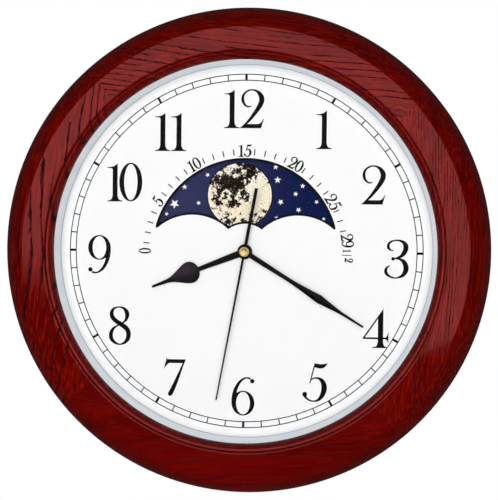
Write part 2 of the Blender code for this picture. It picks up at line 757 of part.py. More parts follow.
def make_nut():
    tube("mounting_washer", BUSH_R + GAP, WASHER_R, WASHER_BACK, WASHER_BACK + WASHER_THICKNESS, "brass")
    flats = circle(NUT_ACROSS_FLATS / math.sqrt(3), 6)
    flat("mounting_nut", [flats, circle(BUSH_R + GAP, 16)], NUT_BACK, BUSH_FRONT, "brass")


def smooth(start, end, share):
    """Between two values, level at both ends."""
    return start + (end - start) * (1 - math.cos(math.pi * share)) / 2


def hour_half_outline():
    """(distance, half width) along the hour hand: stem, pear-shaped bulb, thin tip."""
    stem, neck, tip = HOUR_STEM, HOUR_NECK, HOUR_TIP
    length = HOUR_BULB_END - HOUR_BULB_START
    widest = HOUR_BULB_START + HOUR_BULB_HALF_WIDTH
    half = [(0, HOUR_ROOT), (HOUR_BULB_START, stem)]
    for i in range(1, 6):
        t = math.pi / 2 * i / 5
        half.append((widest - HOUR_BULB_HALF_WIDTH * math.cos(t), HOUR_BULB_HALF_WIDTH * math.sin(t)))
    for i in range(1, 7):
        x = widest + (length - HOUR_BULB_HALF_WIDTH) * i / 6
        half.append((x, smooth(HOUR_BULB_HALF_WIDTH, neck, i / 6)))
    half += [(HOUR_HAND_LENGTH - tip, tip), (HOUR_HAND_LENGTH, tip / 2)]
    return half


def minute_half_outline():
    """(distance, half width) along the minute hand: stem, long leaf with a blunt corner, thin tip."""
    stem, neck, tip = MINUTE_STEM, MINUTE_NECK, MINUTE_TIP
    half = [(0, MINUTE_ROOT), (MINUTE_LEAF_START, stem)]
    swell = MINUTE_LEAF_HALF_WIDTH - stem
    for i in range(1, 5):
        share = i / 4
        x = MINUTE_LEAF_START + (MINUTE_LEAF_WIDEST - MINUTE_LEAF_START) * share
        half.append((x, stem + swell * share**1.4))
    for i in range(1, 5):
        share = i / 4
        x = MINUTE_LEAF_WIDEST + (MINUTE_LEAF_END - MINUTE_LEAF_WIDEST) * share
        half.append((x, neck + (MINUTE_LEAF_HALF_WIDTH - neck) * (1 - share) ** 1.3))
    half += [(MINUTE_HAND_LENGTH - tip, tip), (MINUTE_HAND_LENGTH, tip / 2)]
    return half


def second_half_outline():
    tip = SECOND_HALF_WIDTH / 2
    return [
        (-SECOND_TAIL_LENGTH, SECOND_HALF_WIDTH),
        (0, SECOND_HALF_WIDTH),
        (SECOND_HAND_LENGTH - tip, tip),
        (SECOND_HAND_LENGTH, tip / 2),
    ]


def both_sides(half):
    return half + [(x, -w) for x, w in reversed(half)]


def make_hand(name, half, angle, back, boss, bore, collar, material="black_paint"):
    """A flat blade, a round boss and a collar on the pipe. The blade points along x before it is turned."""
    front = back + HAND_THICKNESS
    blade = flat(name, [both_sides(half)], back, front, material, turn=clockwise(angle))
    ring = [
        (boss, front + PINION_OVERLAP),
        (boss, back - PINION_OVERLAP),
        (collar, back - PINION_OVERLAP),
        (collar, back - COLLAR_BACK),
        (0, back - COLLAR_BACK),
    ]
    fuse(blade, turned(f"boss_of_{name}", [(0, front + PINION_OVERLAP), *ring], None, steps=20))
    cut(blade, bore)
    return blade


def make_hands():
    hour_bore = rod("cut_hour_bore", HOUR_PIPE_R + GAP, DIAL_FRONT, MINUTE_HAND_BACK)
    make_hand(
        "hour_hand",
        hour_half_outline(),
        HOUR_HAND_ANGLE,
        HOUR_HAND_BACK,
        BOSS_R,
        hour_bore,
        HOUR_PIPE_R + COLLAR_WALL,
    )
    minute_bore = rod("cut_minute_bore", MINUTE_PIPE_R + GAP, DIAL_FRONT, SECOND_HAND_BACK)
    make_hand(
        "minute_hand",
        minute_half_outline(),
        MINUTE_HAND_ANGLE,
        MINUTE_HAND_BACK,
        BOSS_R,
        minute_bore,
        MINUTE_PIPE_R + COLLAR_WALL,
    )
    socket_end = SECOND_HAND_BACK + HAND_THICKNESS
    second_bore = rod("cut_second_bore", SECOND_ARBOR_R + GAP, DIAL_FRONT, socket_end, steps=12)
    second = make_hand(
        "second_hand",
        second_half_outline(),
        SECOND_HAND_ANGLE,
        SECOND_HAND_BACK,
        CAP_R - 2 * GAP,
        second_bore,
        SECOND_ARBOR_R + COLLAR_WALL,
    )
    stud_front = socket_end + STUD_HEIGHT
    fuse(second, rod("stud_of_second_hand", CAP_R / 2, SECOND_HAND_BACK + GAP, stud_front))
    cap_back = stud_front + GAP
    dome = [
        (CAP_R * math.sin(t), cap_back + CAP_RIM + CAP_DOME * math.cos(t))
        for t in [math.pi / 2 * i / 4 for i in range(5)]
    ]
    turned("second_hand_cap", [*dome, (CAP_R, cap_back), (0, cap_back)], "brass", steps=20)


def gear_outline(teeth, module, phase, tip, root):
    """Straight-flanked teeth, one of them at the angle phase. With root at 1 the valleys come to a point."""
    pitch = math.tau / teeth
    low = module * (teeth / 2 - DEDENDUM)
    high = module * (teeth / 2 + ADDENDUM)
    corners = [(low, -root), (high, -tip), (high, tip)]
    if root < 1:
        corners.append((low, root))
    return [
        polar(AXIS, radius, phase + pitch * (tooth + share / 2))
        for tooth in range(teeth)
        for radius, share in corners
    ]


def wheel(name, teeth, module, number, material, at, faces, hole=0.0):
    """A toothed wheel in its layer. A gap between teeth faces the pinion that lies in the direction faces."""
    phase = faces + math.pi / teeth
    outlines = [gear_outline(teeth, module, phase, WHEEL_TIP, WHEEL_ROOT)]
    if hole:
        outlines.append(circle(hole, 16))
    return flat(name, outlines, *layer(number), material, at)


def pinion(name, leaves, module, number, material, at, faces, behind=PINION_OVERLAP, ahead=None):
    """A pinion in its layer and a little past it. A leaf faces the wheel in the direction faces."""
    if ahead is None:
        ahead = PINION_OVERLAP
    outline = gear_outline(leaves, module, faces, PINION_TIP, PINION_ROOT)
    back, front = layer(number)
    return flat(name, [outline], back - behind, front + ahead, material, at)


def arbor(name, at, rear, front, rear_pivot=0.0, front_pivot=0.0, radius=ARBOR_R, steps=8):
    """A steel arbor with a thinner pivot at each end that asks for one."""
    profile = [(0, front)]
    if front_pivot:
        profile += [(PIVOT_R, front), (PIVOT_R, front - front_pivot)]
    profile += [(radius, front - front_pivot), (radius, rear + rear_pivot)]
    if rear_pivot:
        profile += [(PIVOT_R, rear + rear_pivot), (PIVOT_R, rear)]
    profile.append((0, rear))
    return turned(name, profile, None, at, steps)


REAR_PIVOT_END = REAR_WALL + GAP / 2
REAR_PIVOT = BOSS_HEIGHT + GAP
BRIDGE_BACK = layer(BRIDGE_LAYER)[0]
BRIDGE_FRONT = BRIDGE_BACK + BRIDGE_THICKNESS
FRONT_PIVOT_END = PLATE_BACK + PLATE_THICKNESS / 2
ABOVE_BRIDGE = BRIDGE_LAYER + 1  # the first layer in front of the bridge
CENTRE_LAYER = ABOVE_BRIDGE + 0.2  # a little higher, clear of the bridge
MINUTE_LAYER = CENTRE_LAYER + 1
HOUR_LAYER = CENTRE_LAYER + 2
MOON_1_LAYER = CENTRE_LAYER + 3
MOON_2_LAYER = CENTRE_LAYER + 4
MOON_PIPE_LAYER = CENTRE_LAYER + 5


def make_seconds_train():
    """Rotor, fifth wheel, second wheel, third wheel and centre wheel."""
    turned(
        "rotor_magnet",
        [
            (MAGNET_R, MAGNET_BACK + MAGNET_HEIGHT),
            (MAGNET_R, MAGNET_BACK),
            (ARBOR_R + GAP, MAGNET_BACK),
            (ARBOR_R + GAP, MAGNET_BACK + MAGNET_HEIGHT),
        ],
        "magnet",
        ROTOR_AT,
        14,
    )
    rotor = pinion(
        "rotor_pinion",
        PINION_LEAVES,
        ROTOR_MODULE,
        0,
        "white_plastic",
        ROTOR_AT,
        towards(ROTOR_AT, FIFTH_AT),
    )
    fuse(
        rotor,
        arbor(
            "arbor_of_rotor", ROTOR_AT, REAR_PIVOT_END, BRIDGE_FRONT, REAR_PIVOT, BRIDGE_THICKNESS + GAP
        ),
    )
    fifth = wheel(
        "fifth_wheel",
        FIFTH_TEETH,
        ROTOR_MODULE,
        0,
        "white_plastic",
        FIFTH_AT,
        towards(FIFTH_AT, ROTOR_AT),
    )
    fuse(
        fifth,
        arbor(
            "arbor_of_fifth", FIFTH_AT, REAR_PIVOT_END, BRIDGE_FRONT, REAR_PIVOT, BRIDGE_THICKNESS + GAP
        ),
        pinion(
            "pinion_of_fifth",
            PINION_LEAVES,
            FIFTH_MODULE,
            1,
            None,
            FIFTH_AT,
            towards(FIFTH_AT, AXIS),
            behind=LAYER_PITCH - WHEEL_THICKNESS + PINION_OVERLAP,
        ),
    )
    second = wheel(
        "second_wheel",
        SECOND_TEETH,
        FIFTH_MODULE,
        1,
        "white_plastic",
        AXIS,
        towards(AXIS, FIFTH_AT),
    )
    tip = SECOND_HAND_BACK + HAND_THICKNESS - GAP
    fuse(
        second,
        arbor("arbor_of_second", AXIS, REAR_PIVOT_END, tip, REAR_PIVOT, radius=SECOND_ARBOR_R),
        pinion(
            "pinion_of_second",
            PINION_LEAVES,
            THIRD_MODULE,
            2,
            None,
            AXIS,
            towards(AXIS, THIRD_AT),
            behind=LAYER_PITCH - WHEEL_THICKNESS + PINION_OVERLAP,
            ahead=0,
        ),
    )
    third = wheel(
        "third_wheel",
        THIRD_TEETH,
        THIRD_MODULE,
        2,
        "white_plastic",
        THIRD_AT,
        towards(THIRD_AT, AXIS),
    )
    fuse(
        third,
        arbor("arbor_of_third", THIRD_AT, REAR_PIVOT_END, layer(CENTRE_LAYER)[0], REAR_PIVOT),
        pinion(
            "pinion_of_third",
            PINION_LEAVES,
            CENTRE_MODULE,
            CENTRE_LAYER,
            None,
            THIRD_AT,
            towards(THIRD_AT, AXIS),
            behind=layer(CENTRE_LAYER)[0] - layer(2)[1] + PINION_OVERLAP,
        ),
    )
    wheel(
        "centre_wheel",
        CENTRE_TEETH,
        CENTRE_MODULE,
        CENTRE_LAYER,
        "white_plastic",
        AXIS,
        towards(AXIS, THIRD_AT),
        MINUTE_PIPE_R,
    )


def make_motion_work():
    """Minute pipe, minute wheel with its arbor and knob, hour wheel."""
    minute_tip = MINUTE_HAND_BACK + HAND_THICKNESS + PINION_OVERLAP
    clutch_r = MINUTE_PIPE_R - GAP
    pipe = turned(
        "minute_pipe",
        [
            (MINUTE_PIPE_R, minute_tip),
            (MINUTE_PIPE_R, layer(MINUTE_LAYER)[0]),
            (clutch_r, layer(MINUTE_LAYER)[0]),
            (clutch_r, layer(CENTRE_LAYER)[0]),
            (MINUTE_BORE_R, layer(CENTRE_LAYER)[0]),
            (MINUTE_BORE_R, minute_tip),
        ],
        "steel",
        steps=16,
    )
    leaves = gear_outline(
        MINUTE_PINION_TEETH, MINUTE_MODULE, towards(AXIS, MINUTE_WHEEL_AT), PINION_TIP, PINION_ROOT
    )
    hole = circle((MINUTE_BORE_R + clutch_r) / 2, 16)
    fuse(pipe, flat("pinion_of_minute_pipe", [leaves, hole], *layer(MINUTE_LAYER)))

    minute_wheel = wheel(
        "minute_wheel",
        MINUTE_WHEEL_TEETH,
        MINUTE_MODULE,
        MINUTE_LAYER,
        "white_plastic",
        MINUTE_WHEEL_AT,
        towards(MINUTE_WHEEL_AT, AXIS),
    )
    between = LAYER_PITCH - WHEEL_THICKNESS
    fuse(
        minute_wheel,
        arbor(
            "arbor_of_minute_wheel",
            MINUTE_WHEEL_AT,
            CASE_REAR + GAP,
            FRONT_PIVOT_END,
            front_pivot=PLATE_THICKNESS / 2 + GAP,
        ),
        pinion(
            "hour_pinion",
            HOUR_PINION_TEETH,
            HOUR_MODULE,
            HOUR_LAYER,
            None,
            MINUTE_WHEEL_AT,
            towards(MINUTE_WHEEL_AT, AXIS),
            behind=between + PINION_OVERLAP,
            ahead=0,
        ),
        pinion(
            "moon_pinion",
            PINION_LEAVES,
            MOON_1_MODULE,
            MOON_1_LAYER,
            None,
            MINUTE_WHEEL_AT,
            towards(MINUTE_WHEEL_AT, MOON_1_AT),
            behind=between + PINION_OVERLAP,
        ),
    )

    hour_tip = HOUR_HAND_BACK + HAND_THICKNESS + PINION_OVERLAP
    hour = tube("hour_wheel", HOUR_BORE_R, HOUR_PIPE_R, layer(HOUR_LAYER)[0], hour_tip, "white_plastic")
    teeth = gear_outline(
        HOUR_WHEEL_TEETH,
        HOUR_MODULE,
        towards(AXIS, MINUTE_WHEEL_AT) + math.pi / HOUR_WHEEL_TEETH,
        WHEEL_TIP,
        WHEEL_ROOT,
    )
    hole = circle((HOUR_BORE_R + HOUR_PIPE_R) / 2, 16)
    back, front = layer(HOUR_LAYER)
    fuse(hour, flat("teeth_of_hour_wheel", [teeth, hole], back, front))


def make_moon_work():
    """Two reduction wheels and the wheel on the moon pipe."""
    between = LAYER_PITCH - WHEEL_THICKNESS
    first = wheel(
        "moon_wheel_1",
        MOON_1_TEETH,
        MOON_1_MODULE,
        MOON_1_LAYER,
        "white_plastic",
        MOON_1_AT,
        towards(MOON_1_AT, MINUTE_WHEEL_AT),
    )
    fuse(
        first,
        arbor(
            "arbor_of_moon_1",
            MOON_1_AT,
            BRIDGE_BACK,
            FRONT_PIVOT_END,
            BRIDGE_THICKNESS + GAP,
            PLATE_THICKNESS / 2 + GAP,
        ),
        pinion(
            "pinion_of_moon_1",
            PINION_LEAVES,
            MOON_2_MODULE,
            MOON_2_LAYER,
            None,
            MOON_1_AT,
            towards(MOON_1_AT, MOON_2_AT),
            behind=between + PINION_OVERLAP,
        ),
    )
    second = wheel(
        "moon_wheel_2",
        MOON_2_TEETH,
        MOON_2_MODULE,
        MOON_2_LAYER,
        "white_plastic",
        MOON_2_AT,
        towards(MOON_2_AT, MOON_1_AT),
    )
    fuse(
        second,
        pinion(
            "pinion_of_moon_2",
            PINION_LEAVES,
            MOON_PIPE_MODULE,
            MOON_PIPE_LAYER,
            None,
            MOON_2_AT,
            towards(MOON_2_AT, AXIS),
            behind=between + PINION_OVERLAP,
            ahead=0,
        ),
    )
    post_hole = rod(
        "cut_moon_2_bore", PIVOT_HOLE_R, layer(MOON_2_LAYER)[0] - GAP, PLATE_BACK, at=MOON_2_AT, steps=12
    )
    cut(second, post_hole)

    back, front = layer(MOON_PIPE_LAYER)
    pipe = tube("moon_pipe_wheel", MOON_BORE_R, MOON_PIPE_R, back, MOON_PIPE_FRONT, "white_plastic")
    teeth = gear_outline(
        MOON_PIPE_TEETH,
        MOON_PIPE_MODULE,
        towards(AXIS, MOON_2_AT) + math.pi / MOON_PIPE_TEETH,
        WHEEL_TIP,
        WHEEL_ROOT,
    )
    hole = circle((MOON_BORE_R + MOON_PIPE_R) / 2, 16)
    fuse(pipe, flat("teeth_of_moon_pipe", [teeth, hole], back, front))


PILLARS = [
    (22.5 * MM, 22.5 * MM),
    (22.5 * MM, -7.5 * MM),
    (-23.0 * MM, 22.5 * MM),
    (-12.5 * MM, -7.8 * MM),
]
REAR_BEARINGS = (AXIS, FIFTH_AT, THIRD_AT, ROTOR_AT)


def case_outline():
    half = (CASE_HALF, CASE_HALF)
    return rectangle((-CASE_HALF, -CASE_HALF), half, corner=CASE_CORNER, steps=2)


def make_movement_case():
    """An open-fronted box with the battery bay below, bearing bosses, pillars and the knob's well."""
    past_front = CASE_FRONT + GAP
    before_rear = CASE_REAR - GAP
    case = flat("movement_case", [case_outline()], CASE_REAR, CASE_FRONT, "black_plastic")
    wheels_room = box(
        "cut_wheel_room", (-ROOM_HALF, DIVIDER_TOP, REAR_WALL), (ROOM_HALF, ROOM_HALF, past_front)
    )
    bay = box(
        "cut_battery_bay", (-ROOM_HALF, -ROOM_HALF, before_rear), (ROOM_HALF, BAY_WALL_Y, past_front)
    )
    slots = [
        box(
            f"cut_contact_slot_{side}",
            (low, BAY_WALL_Y - GAP, REAR_WALL),
            (low + CONTACT_SLOT, DIVIDER_TOP + GAP, past_front),
        )
        for side, low in (("left", -ROOM_HALF), ("right", ROOM_HALF - CONTACT_SLOT))
    ]
    notch = box(
        "cut_finger_notch",
        (-NOTCH_HALF_WIDTH, -CASE_HALF - GAP, before_rear),
        (NOTCH_HALF_WIDTH, -ROOM_HALF + GAP, CASE_REAR + CASE_DEPTH / 2),
    )
    cut(case, wheels_room, bay, *slots, notch)
    bosses = [
        rod(f"boss_{number}", BEARING_BOSS_R, REAR_WALL - GAP, REAR_WALL + BOSS_HEIGHT, at=at, steps=10)
        for number, at in enumerate(REAR_BEARINGS)
    ]
    pillars = [
        turned(
            f"pillar_{number}",
            [
                (0, BRIDGE_FRONT),
                (PILLAR_PIN_R, BRIDGE_FRONT),
                (PILLAR_PIN_R, BRIDGE_BACK - GAP),
                (PILLAR_R, BRIDGE_BACK - GAP),
                (PILLAR_R, REAR_WALL - GAP),
                (0, REAR_WALL - GAP),
            ],
            None,
            at,
            10,
        )
        for number, at in enumerate(PILLARS)
    ]
    well_front = CASE_REAR + KNOB_WELL_DEPTH + KNOB_WELL_WALL
    well = rod(
        "knob_well",
        KNOB_WELL_R + KNOB_WELL_WALL,
        REAR_WALL - GAP,
        well_front,
        at=MINUTE_WHEEL_AT,
        steps=24,
    )
    fuse(case, *bosses, *pillars, well)
    pivot_holes = [
        rod(
            f"cut_pivot_{number}",
            PIVOT_HOLE_R,
            CASE_REAR + CASE_WALL / 2,
            REAR_WALL + BOSS_HEIGHT + GAP,
            at=at,
            steps=8,
        )
        for number, at in enumerate(REAR_BEARINGS)
    ]
    well_room = rod(
        "cut_knob_well",
        KNOB_WELL_R,
        before_rear,
        CASE_REAR + KNOB_WELL_DEPTH,
        at=MINUTE_WHEEL_AT,
        steps=24,
    )
    arbor_hole = rod(
        "cut_knob_arbor", ARBOR_R + GAP, CASE_REAR, well_front + GAP, at=MINUTE_WHEEL_AT, steps=12
    )
    cut(case, *pivot_holes, well_room, arbor_hole)


def make_front_plate():
    plate = flat(
        "movement_front_plate",
        [case_outline(), circle(BUSH_BORE_R + GAP, 16)],
        PLATE_BACK,
        PLATE_FRONT,
        "black_plastic",
    )
    bush = tube("bush", BUSH_BORE_R, BUSH_R, PLATE_BACK, BUSH_FRONT)
    post = rod(
        "moon_2_post",
        PIVOT_R,
        layer(MOON_2_LAYER)[0],
        PLATE_BACK + PLATE_THICKNESS / 2,
        at=MOON_2_AT,
        steps=12,
    )
    fuse(plate, bush, post)
    pivots = [
        rod(f"cut_front_pivot_{number}", PIVOT_HOLE_R, PLATE_BACK - GAP, PLATE_FRONT + GAP, at=at, steps=12)
        for number, at in enumerate((MINUTE_WHEEL_AT, MOON_1_AT))
    ]
    cut(plate, *pivots)


def make_bridge():
    low = (-FITTING_EDGE, BRIDGE_LOW)
    high = (FITTING_EDGE, FITTING_EDGE)
    outline = rectangle(low, high, corner=BRIDGE_CORNER, steps=3)
    third_pinion_r = CENTRE_MODULE * (PINION_LEAVES / 2 + ADDENDUM)
    holes = [
        circle(MINUTE_BORE_R, 8),
        circle(third_pinion_r + GAP, 12, THIRD_AT),
        circle(PIVOT_HOLE_R, 8, FIFTH_AT),
        circle(PIVOT_HOLE_R, 8, ROTOR_AT),
        circle(ARBOR_R + GAP, 8, MINUTE_WHEEL_AT),
        circle(PIVOT_HOLE_R, 8, MOON_1_AT),
        *[circle(PILLAR_PIN_R + GAP, 10, at) for at in PILLARS],
    ]
    flat("bridge_plate", [outline, *holes], BRIDGE_BACK, BRIDGE_FRONT, "white_plastic")


def make_knob():
    back = CASE_REAR + GAP
    front = CASE_REAR + KNOB_WELL_DEPTH - GAP
    outline = [
        polar(AXIS, KNOB_WELL_R - (2 * GAP if i % 2 else 3 * GAP), math.pi * i / KNOB_FLUTES)
        for i in range(2 * KNOB_FLUTES)
    ]
    flat(
        "setting_knob", [outline, circle(ARBOR_R + GAP, 12)], back, front, "white_plastic", MINUTE_WHEEL_AT
    )


def make_motor():
    """Stator, coil core, bobbin and winding."""
    rise = COIL_Y - ROTOR_AT[1]
    half_length = CORE_LENGTH / 2
    half_width = CORE_WIDTH / 2 + STATOR_END_MARGIN
    arm = half_length - ARM_WIDTH
    waist = STATOR_HOLE_R + STATOR_WAIST
    coil_edge = rise - COIL_FLANGE_R - 2 * GAP
    right = [
        (STATOR_REACH, -STATOR_REACH),
        (half_length, coil_edge),
        (half_length, rise + half_width),
        (arm, rise + half_width),
        (arm, coil_edge),
        (waist, waist),
    ]
    outline = right + [(-x, y) for x, y in reversed(right)]
    flat(
        "stator",
        [outline, circle(STATOR_HOLE_R, 24)],
        STATOR_BACK,
        STATOR_BACK + STATOR_THICKNESS,
        "steel",
        ROTOR_AT,
    )
    x = ROTOR_AT[0]
    box(
        "coil_core",
        (x - half_length, COIL_Y - CORE_WIDTH / 2, CORE_BACK),
        (x + half_length, COIL_Y + CORE_WIDTH / 2, CORE_BACK + CORE_THICKNESS),
        "steel",
    )
    height = CORE_BACK + CORE_THICKNESS / 2
    end = COIL_LENGTH / 2
    inside = end - COIL_FLANGE
    bobbin = [
        (COIL_FLANGE_R, end),
        (COIL_FLANGE_R, inside),
        (COIL_TUBE_R, inside),
        (COIL_TUBE_R, -inside),
        (COIL_FLANGE_R, -inside),
        (COIL_FLANGE_R, -end),
        (COIL_BORE_R, -end),
        (COIL_BORE_R, end),
    ]
    sideways = (0.0, math.pi / 2)
    turned("coil_bobbin", bobbin, "white_plastic", (x, COIL_Y), 16, sideways, height)
    winding = [
        (COIL_WINDING_R, inside - GAP),
        (COIL_WINDING_R, GAP - inside),
        (COIL_TUBE_R + GAP, GAP - inside),
        (COIL_TUBE_R + GAP, inside - GAP),
    ]
    turned("coil_winding", winding, "copper_wire", (x, COIL_Y), 16, sideways, height)


def make_circuit():
    front = CIRCUIT_BACK + CIRCUIT_THICKNESS
    box(
        "circuit_board",
        (CIRCUIT_LEFT, CIRCUIT_LOW, CIRCUIT_BACK),
        (CIRCUIT_RIGHT, CIRCUIT_HIGH, front),
        "circuit_green",
    )
    crystal_at = ((CIRCUIT_LEFT + CIRCUIT_RIGHT) / 2, (CIRCUIT_LOW + CIRCUIT_HIGH) / 2)
    half = CRYSTAL_LENGTH / 2
    profile = [(0, half), (CRYSTAL_R, half), (CRYSTAL_R, -half), (0, -half)]
    turned(
        "quartz_crystal",
        profile,
        "steel",
        crystal_at,
        16,
        (math.pi / 2, 0.0),
        front + GAP + CRYSTAL_R,
    )


def make_contacts():
    """Flat springs at the ends of the battery bay, each with a tail into the wheel room."""
    outside = ROOM_HALF - GAP
    inside = outside - CONTACT_THICKNESS
    low = CONTACT_FOOT - ROOM_HALF
    tail_low = CONTACT_TAIL_Y
    tail_high = tail_low + CONTACT_THICKNESS
    tail_end = CIRCUIT_RIGHT + CONTACT_SLOT
    positive = [
        (inside, low),
        (outside, low),
        (outside, tail_high),
        (tail_end, tail_high),
        (tail_end, tail_low),
        (inside, tail_low),
    ]
    front = CONTACT_BACK + CONTACT_HEIGHT
    flat("contact_positive", [positive], CONTACT_BACK, front, "steel")
    bay_middle = (BAY_WALL_Y - ROOM_HALF) / 2
    negative = [
        (-outside, low),
        (-inside, low),
        (-inside + CONTACT_BULGE, bay_middle),
        (-inside, BAY_WALL_Y),
        (-inside, tail_high),
        (-outside, tail_high),
        (-outside, BAY_WALL_Y),
        (-outside + CONTACT_BULGE, bay_middle),
    ]
    flat("contact_negative", [negative], CONTACT_BACK, CONTACT_BACK + 3 * CONTACT_HEIGHT, "steel")


def make_battery():
    """A cell across the bay, its axis along x, and its raised terminal."""
    at = (CELL_X, (BAY_WALL_Y - ROOM_HALF) / 2)
    height = CASE_REAR + CELL_R + GAP
    half = CELL_LENGTH / 2
    edge = CELL_EDGE
    cell = [
        (0, half),
        (CELL_R - edge, half),
        (CELL_R, half - edge),
        (CELL_R, edge - half),
        (CELL_R - edge, -half),
        (0, -half),
    ]
    sideways = (0.0, math.pi / 2)
    turned("battery_cell", cell, "cell_wrap", at, 20, sideways, height)
    nub = [
        (0, half + GAP + NUB_LENGTH),
        (NUB_R, half + GAP + NUB_LENGTH),
        (NUB_R, half + GAP),
        (0, half + GAP),
    ]
    turned("battery_nub", nub, "steel", at, 16, sideways, height)


make_frame()
make_hanger()
make_glass()
make_bezel_ring()
make_dial()
make_back_board()
make_moon_disc()
make_nut()
make_hands()
make_seconds_train()
make_motion_work()
make_moon_work()
make_movement_case()
make_front_plate()
make_bridge()
make_knob()
make_motor()
make_circuit()
make_contacts()
make_battery()
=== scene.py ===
"""Looks of the moon phase wall clock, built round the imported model.

The clock's own frame is the CAD's: millimetres from the hands' axis, x to the right and y up as the
viewer sees the dial, z from the wall towards the viewer. CLOCK turns it into the row frame.
"""

import json
import math
import random

import bmesh
import bpy
from mathutils import Matrix, Vector


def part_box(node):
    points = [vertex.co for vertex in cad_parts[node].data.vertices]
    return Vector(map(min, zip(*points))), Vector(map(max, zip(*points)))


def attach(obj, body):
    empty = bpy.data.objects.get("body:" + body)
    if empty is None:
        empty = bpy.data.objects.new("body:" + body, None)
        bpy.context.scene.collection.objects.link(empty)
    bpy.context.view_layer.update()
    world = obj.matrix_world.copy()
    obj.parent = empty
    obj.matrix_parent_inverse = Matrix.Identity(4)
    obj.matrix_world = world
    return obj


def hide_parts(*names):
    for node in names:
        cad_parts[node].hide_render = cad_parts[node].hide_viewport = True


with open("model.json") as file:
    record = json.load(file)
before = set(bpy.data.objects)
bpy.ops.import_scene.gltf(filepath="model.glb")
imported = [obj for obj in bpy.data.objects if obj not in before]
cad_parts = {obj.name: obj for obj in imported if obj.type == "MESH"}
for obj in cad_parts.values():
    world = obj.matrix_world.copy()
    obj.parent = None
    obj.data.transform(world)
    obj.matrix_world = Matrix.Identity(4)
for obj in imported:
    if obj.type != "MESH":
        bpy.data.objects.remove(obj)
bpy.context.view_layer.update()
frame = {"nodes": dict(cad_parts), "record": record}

DIAL_LOW, DIAL_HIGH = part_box("dial")
MM = 0.001
AXIS_HEIGHT = (DIAL_LOW.z + DIAL_HIGH.z) / 2
CLOCK = Matrix.Translation((0, 0, AXIS_HEIGHT)) @ Matrix.Rotation(math.pi / 2, 4, "X") @ Matrix.Scale(MM, 4)

BODY = "clock_body"
MOON_BODY = "moon_disc_body"

# Where things stand at rest, clockwise from 12
HOUR_AT = math.radians(248.7)
MINUTE_AT = math.radians(121.8)
SECOND_AT = math.radians(190.3)
MOON_AT = math.radians(-6)
FRAME_TURN = math.radians(4)

# Radii of the wooden ring and what it holds
OPENING_R = 127.5
SEAT_R = 131.9
STACK_R = 131.6
BEAD_R = 130.3
FACE_R = 131.8
LEDGE_R = 140.0
SHOULDER_R = 148.5
RIM_R = 167.5

# Heights over the wall
DIAL_FRONT = 28.0
BEZEL_BACK = 28.3
BEZEL_FRONT = 39.2
GLASS_BACK = 39.5
GLASS_FRONT = 41.5
LIP_BACK = 41.8
BEAD_FOOT = 43.8
FACE_FRONT = 50.0
SHOULDER_FRONT = 46.4
SHOULDER_FOOT = 8.0
LEDGE_FRONT = 20.7
MOON_DISC_BACK = 24.5
MOON_DISC_FRONT = 25.1
HOUR_BACK = 29.2
MINUTE_BACK = 31.0
SECOND_BACK = 32.9
CAP_BACK = 34.7

# The hanger plate's recess and pocket in the ring's back, and the screws' holes
HANGER_Y = LEDGE_R + 12.5
HANGER_HALF = (23.3, 9.3)
HANGER_DEEP = 1.8
POCKET_HALF = (9.0, 8.7)
POCKET_CORNER = 2.0
POCKET_DEEP = 9.0
HANGER_SCREW_X = 18
HANGER_SCREW_DEEP = 14.6
SCREW_HOLE_R = 1.55
BOARD_SCREW_CIRCLE_R = LEDGE_R - 4
BOARD_SCREW_AT = math.radians(30)
BOARD_SCREW_END = 31.7

# The moon disc and the two moons printed on it
MOON_DISC_R = 66.5
MOON_DISC_HOLE_R = 5.5
MOON_R = 22.0
MOON_CIRCLE_R = 38.4

# The print on the dial and the disc: how thick it lies, and the figures and bars
PRINT = 0.02
FIGURE_HEIGHT = 26.1
FIGURE_SWELL = 0.12
DAY_HEIGHT = 8.0
DAY_SWELL = 0.22
TRACK_OUTER = 119.75
TRACK_INNER = 115.7
TRACK_LINE = 0.66
THIN_BAR = 0.75
THICK_BAR = 1.6


def polar(radius, angle, centre=(0.0, 0.0)):
    """A point at an angle clockwise from 12."""
    return (centre[0] + radius * math.sin(angle), centre[1] + radius * math.cos(angle))


# Shaders


class Wire:
    """A node's output. Arithmetic on it adds Math nodes."""

    def __init__(self, paint, socket):
        self.paint = paint
        self.socket = socket

    def __add__(self, other):
        return self.paint.maths("ADD", self, other)

    def __radd__(self, other):
        return self.paint.maths("ADD", other, self)

    def __sub__(self, other):
        return self.paint.maths("SUBTRACT", self, other)

    def __rsub__(self, other):
        return self.paint.maths("SUBTRACT", other, self)

    def __mul__(self, other):
        return self.paint.maths("MULTIPLY", self, other)

    def __rmul__(self, other):
        return self.paint.maths("MULTIPLY", other, self)

    def __truediv__(self, other):
        return self.paint.maths("DIVIDE", self, other)

    def __rtruediv__(self, other):
        return self.paint.maths("DIVIDE", other, self)

    def between(self, low, high):
        """0 at low and 1 at high, with a soft start and end."""
        settings = {"interpolation_type": "SMOOTHSTEP"}
        return self.paint.node("ShaderNodeMapRange", settings, {0: self, 1: low, 2: high})


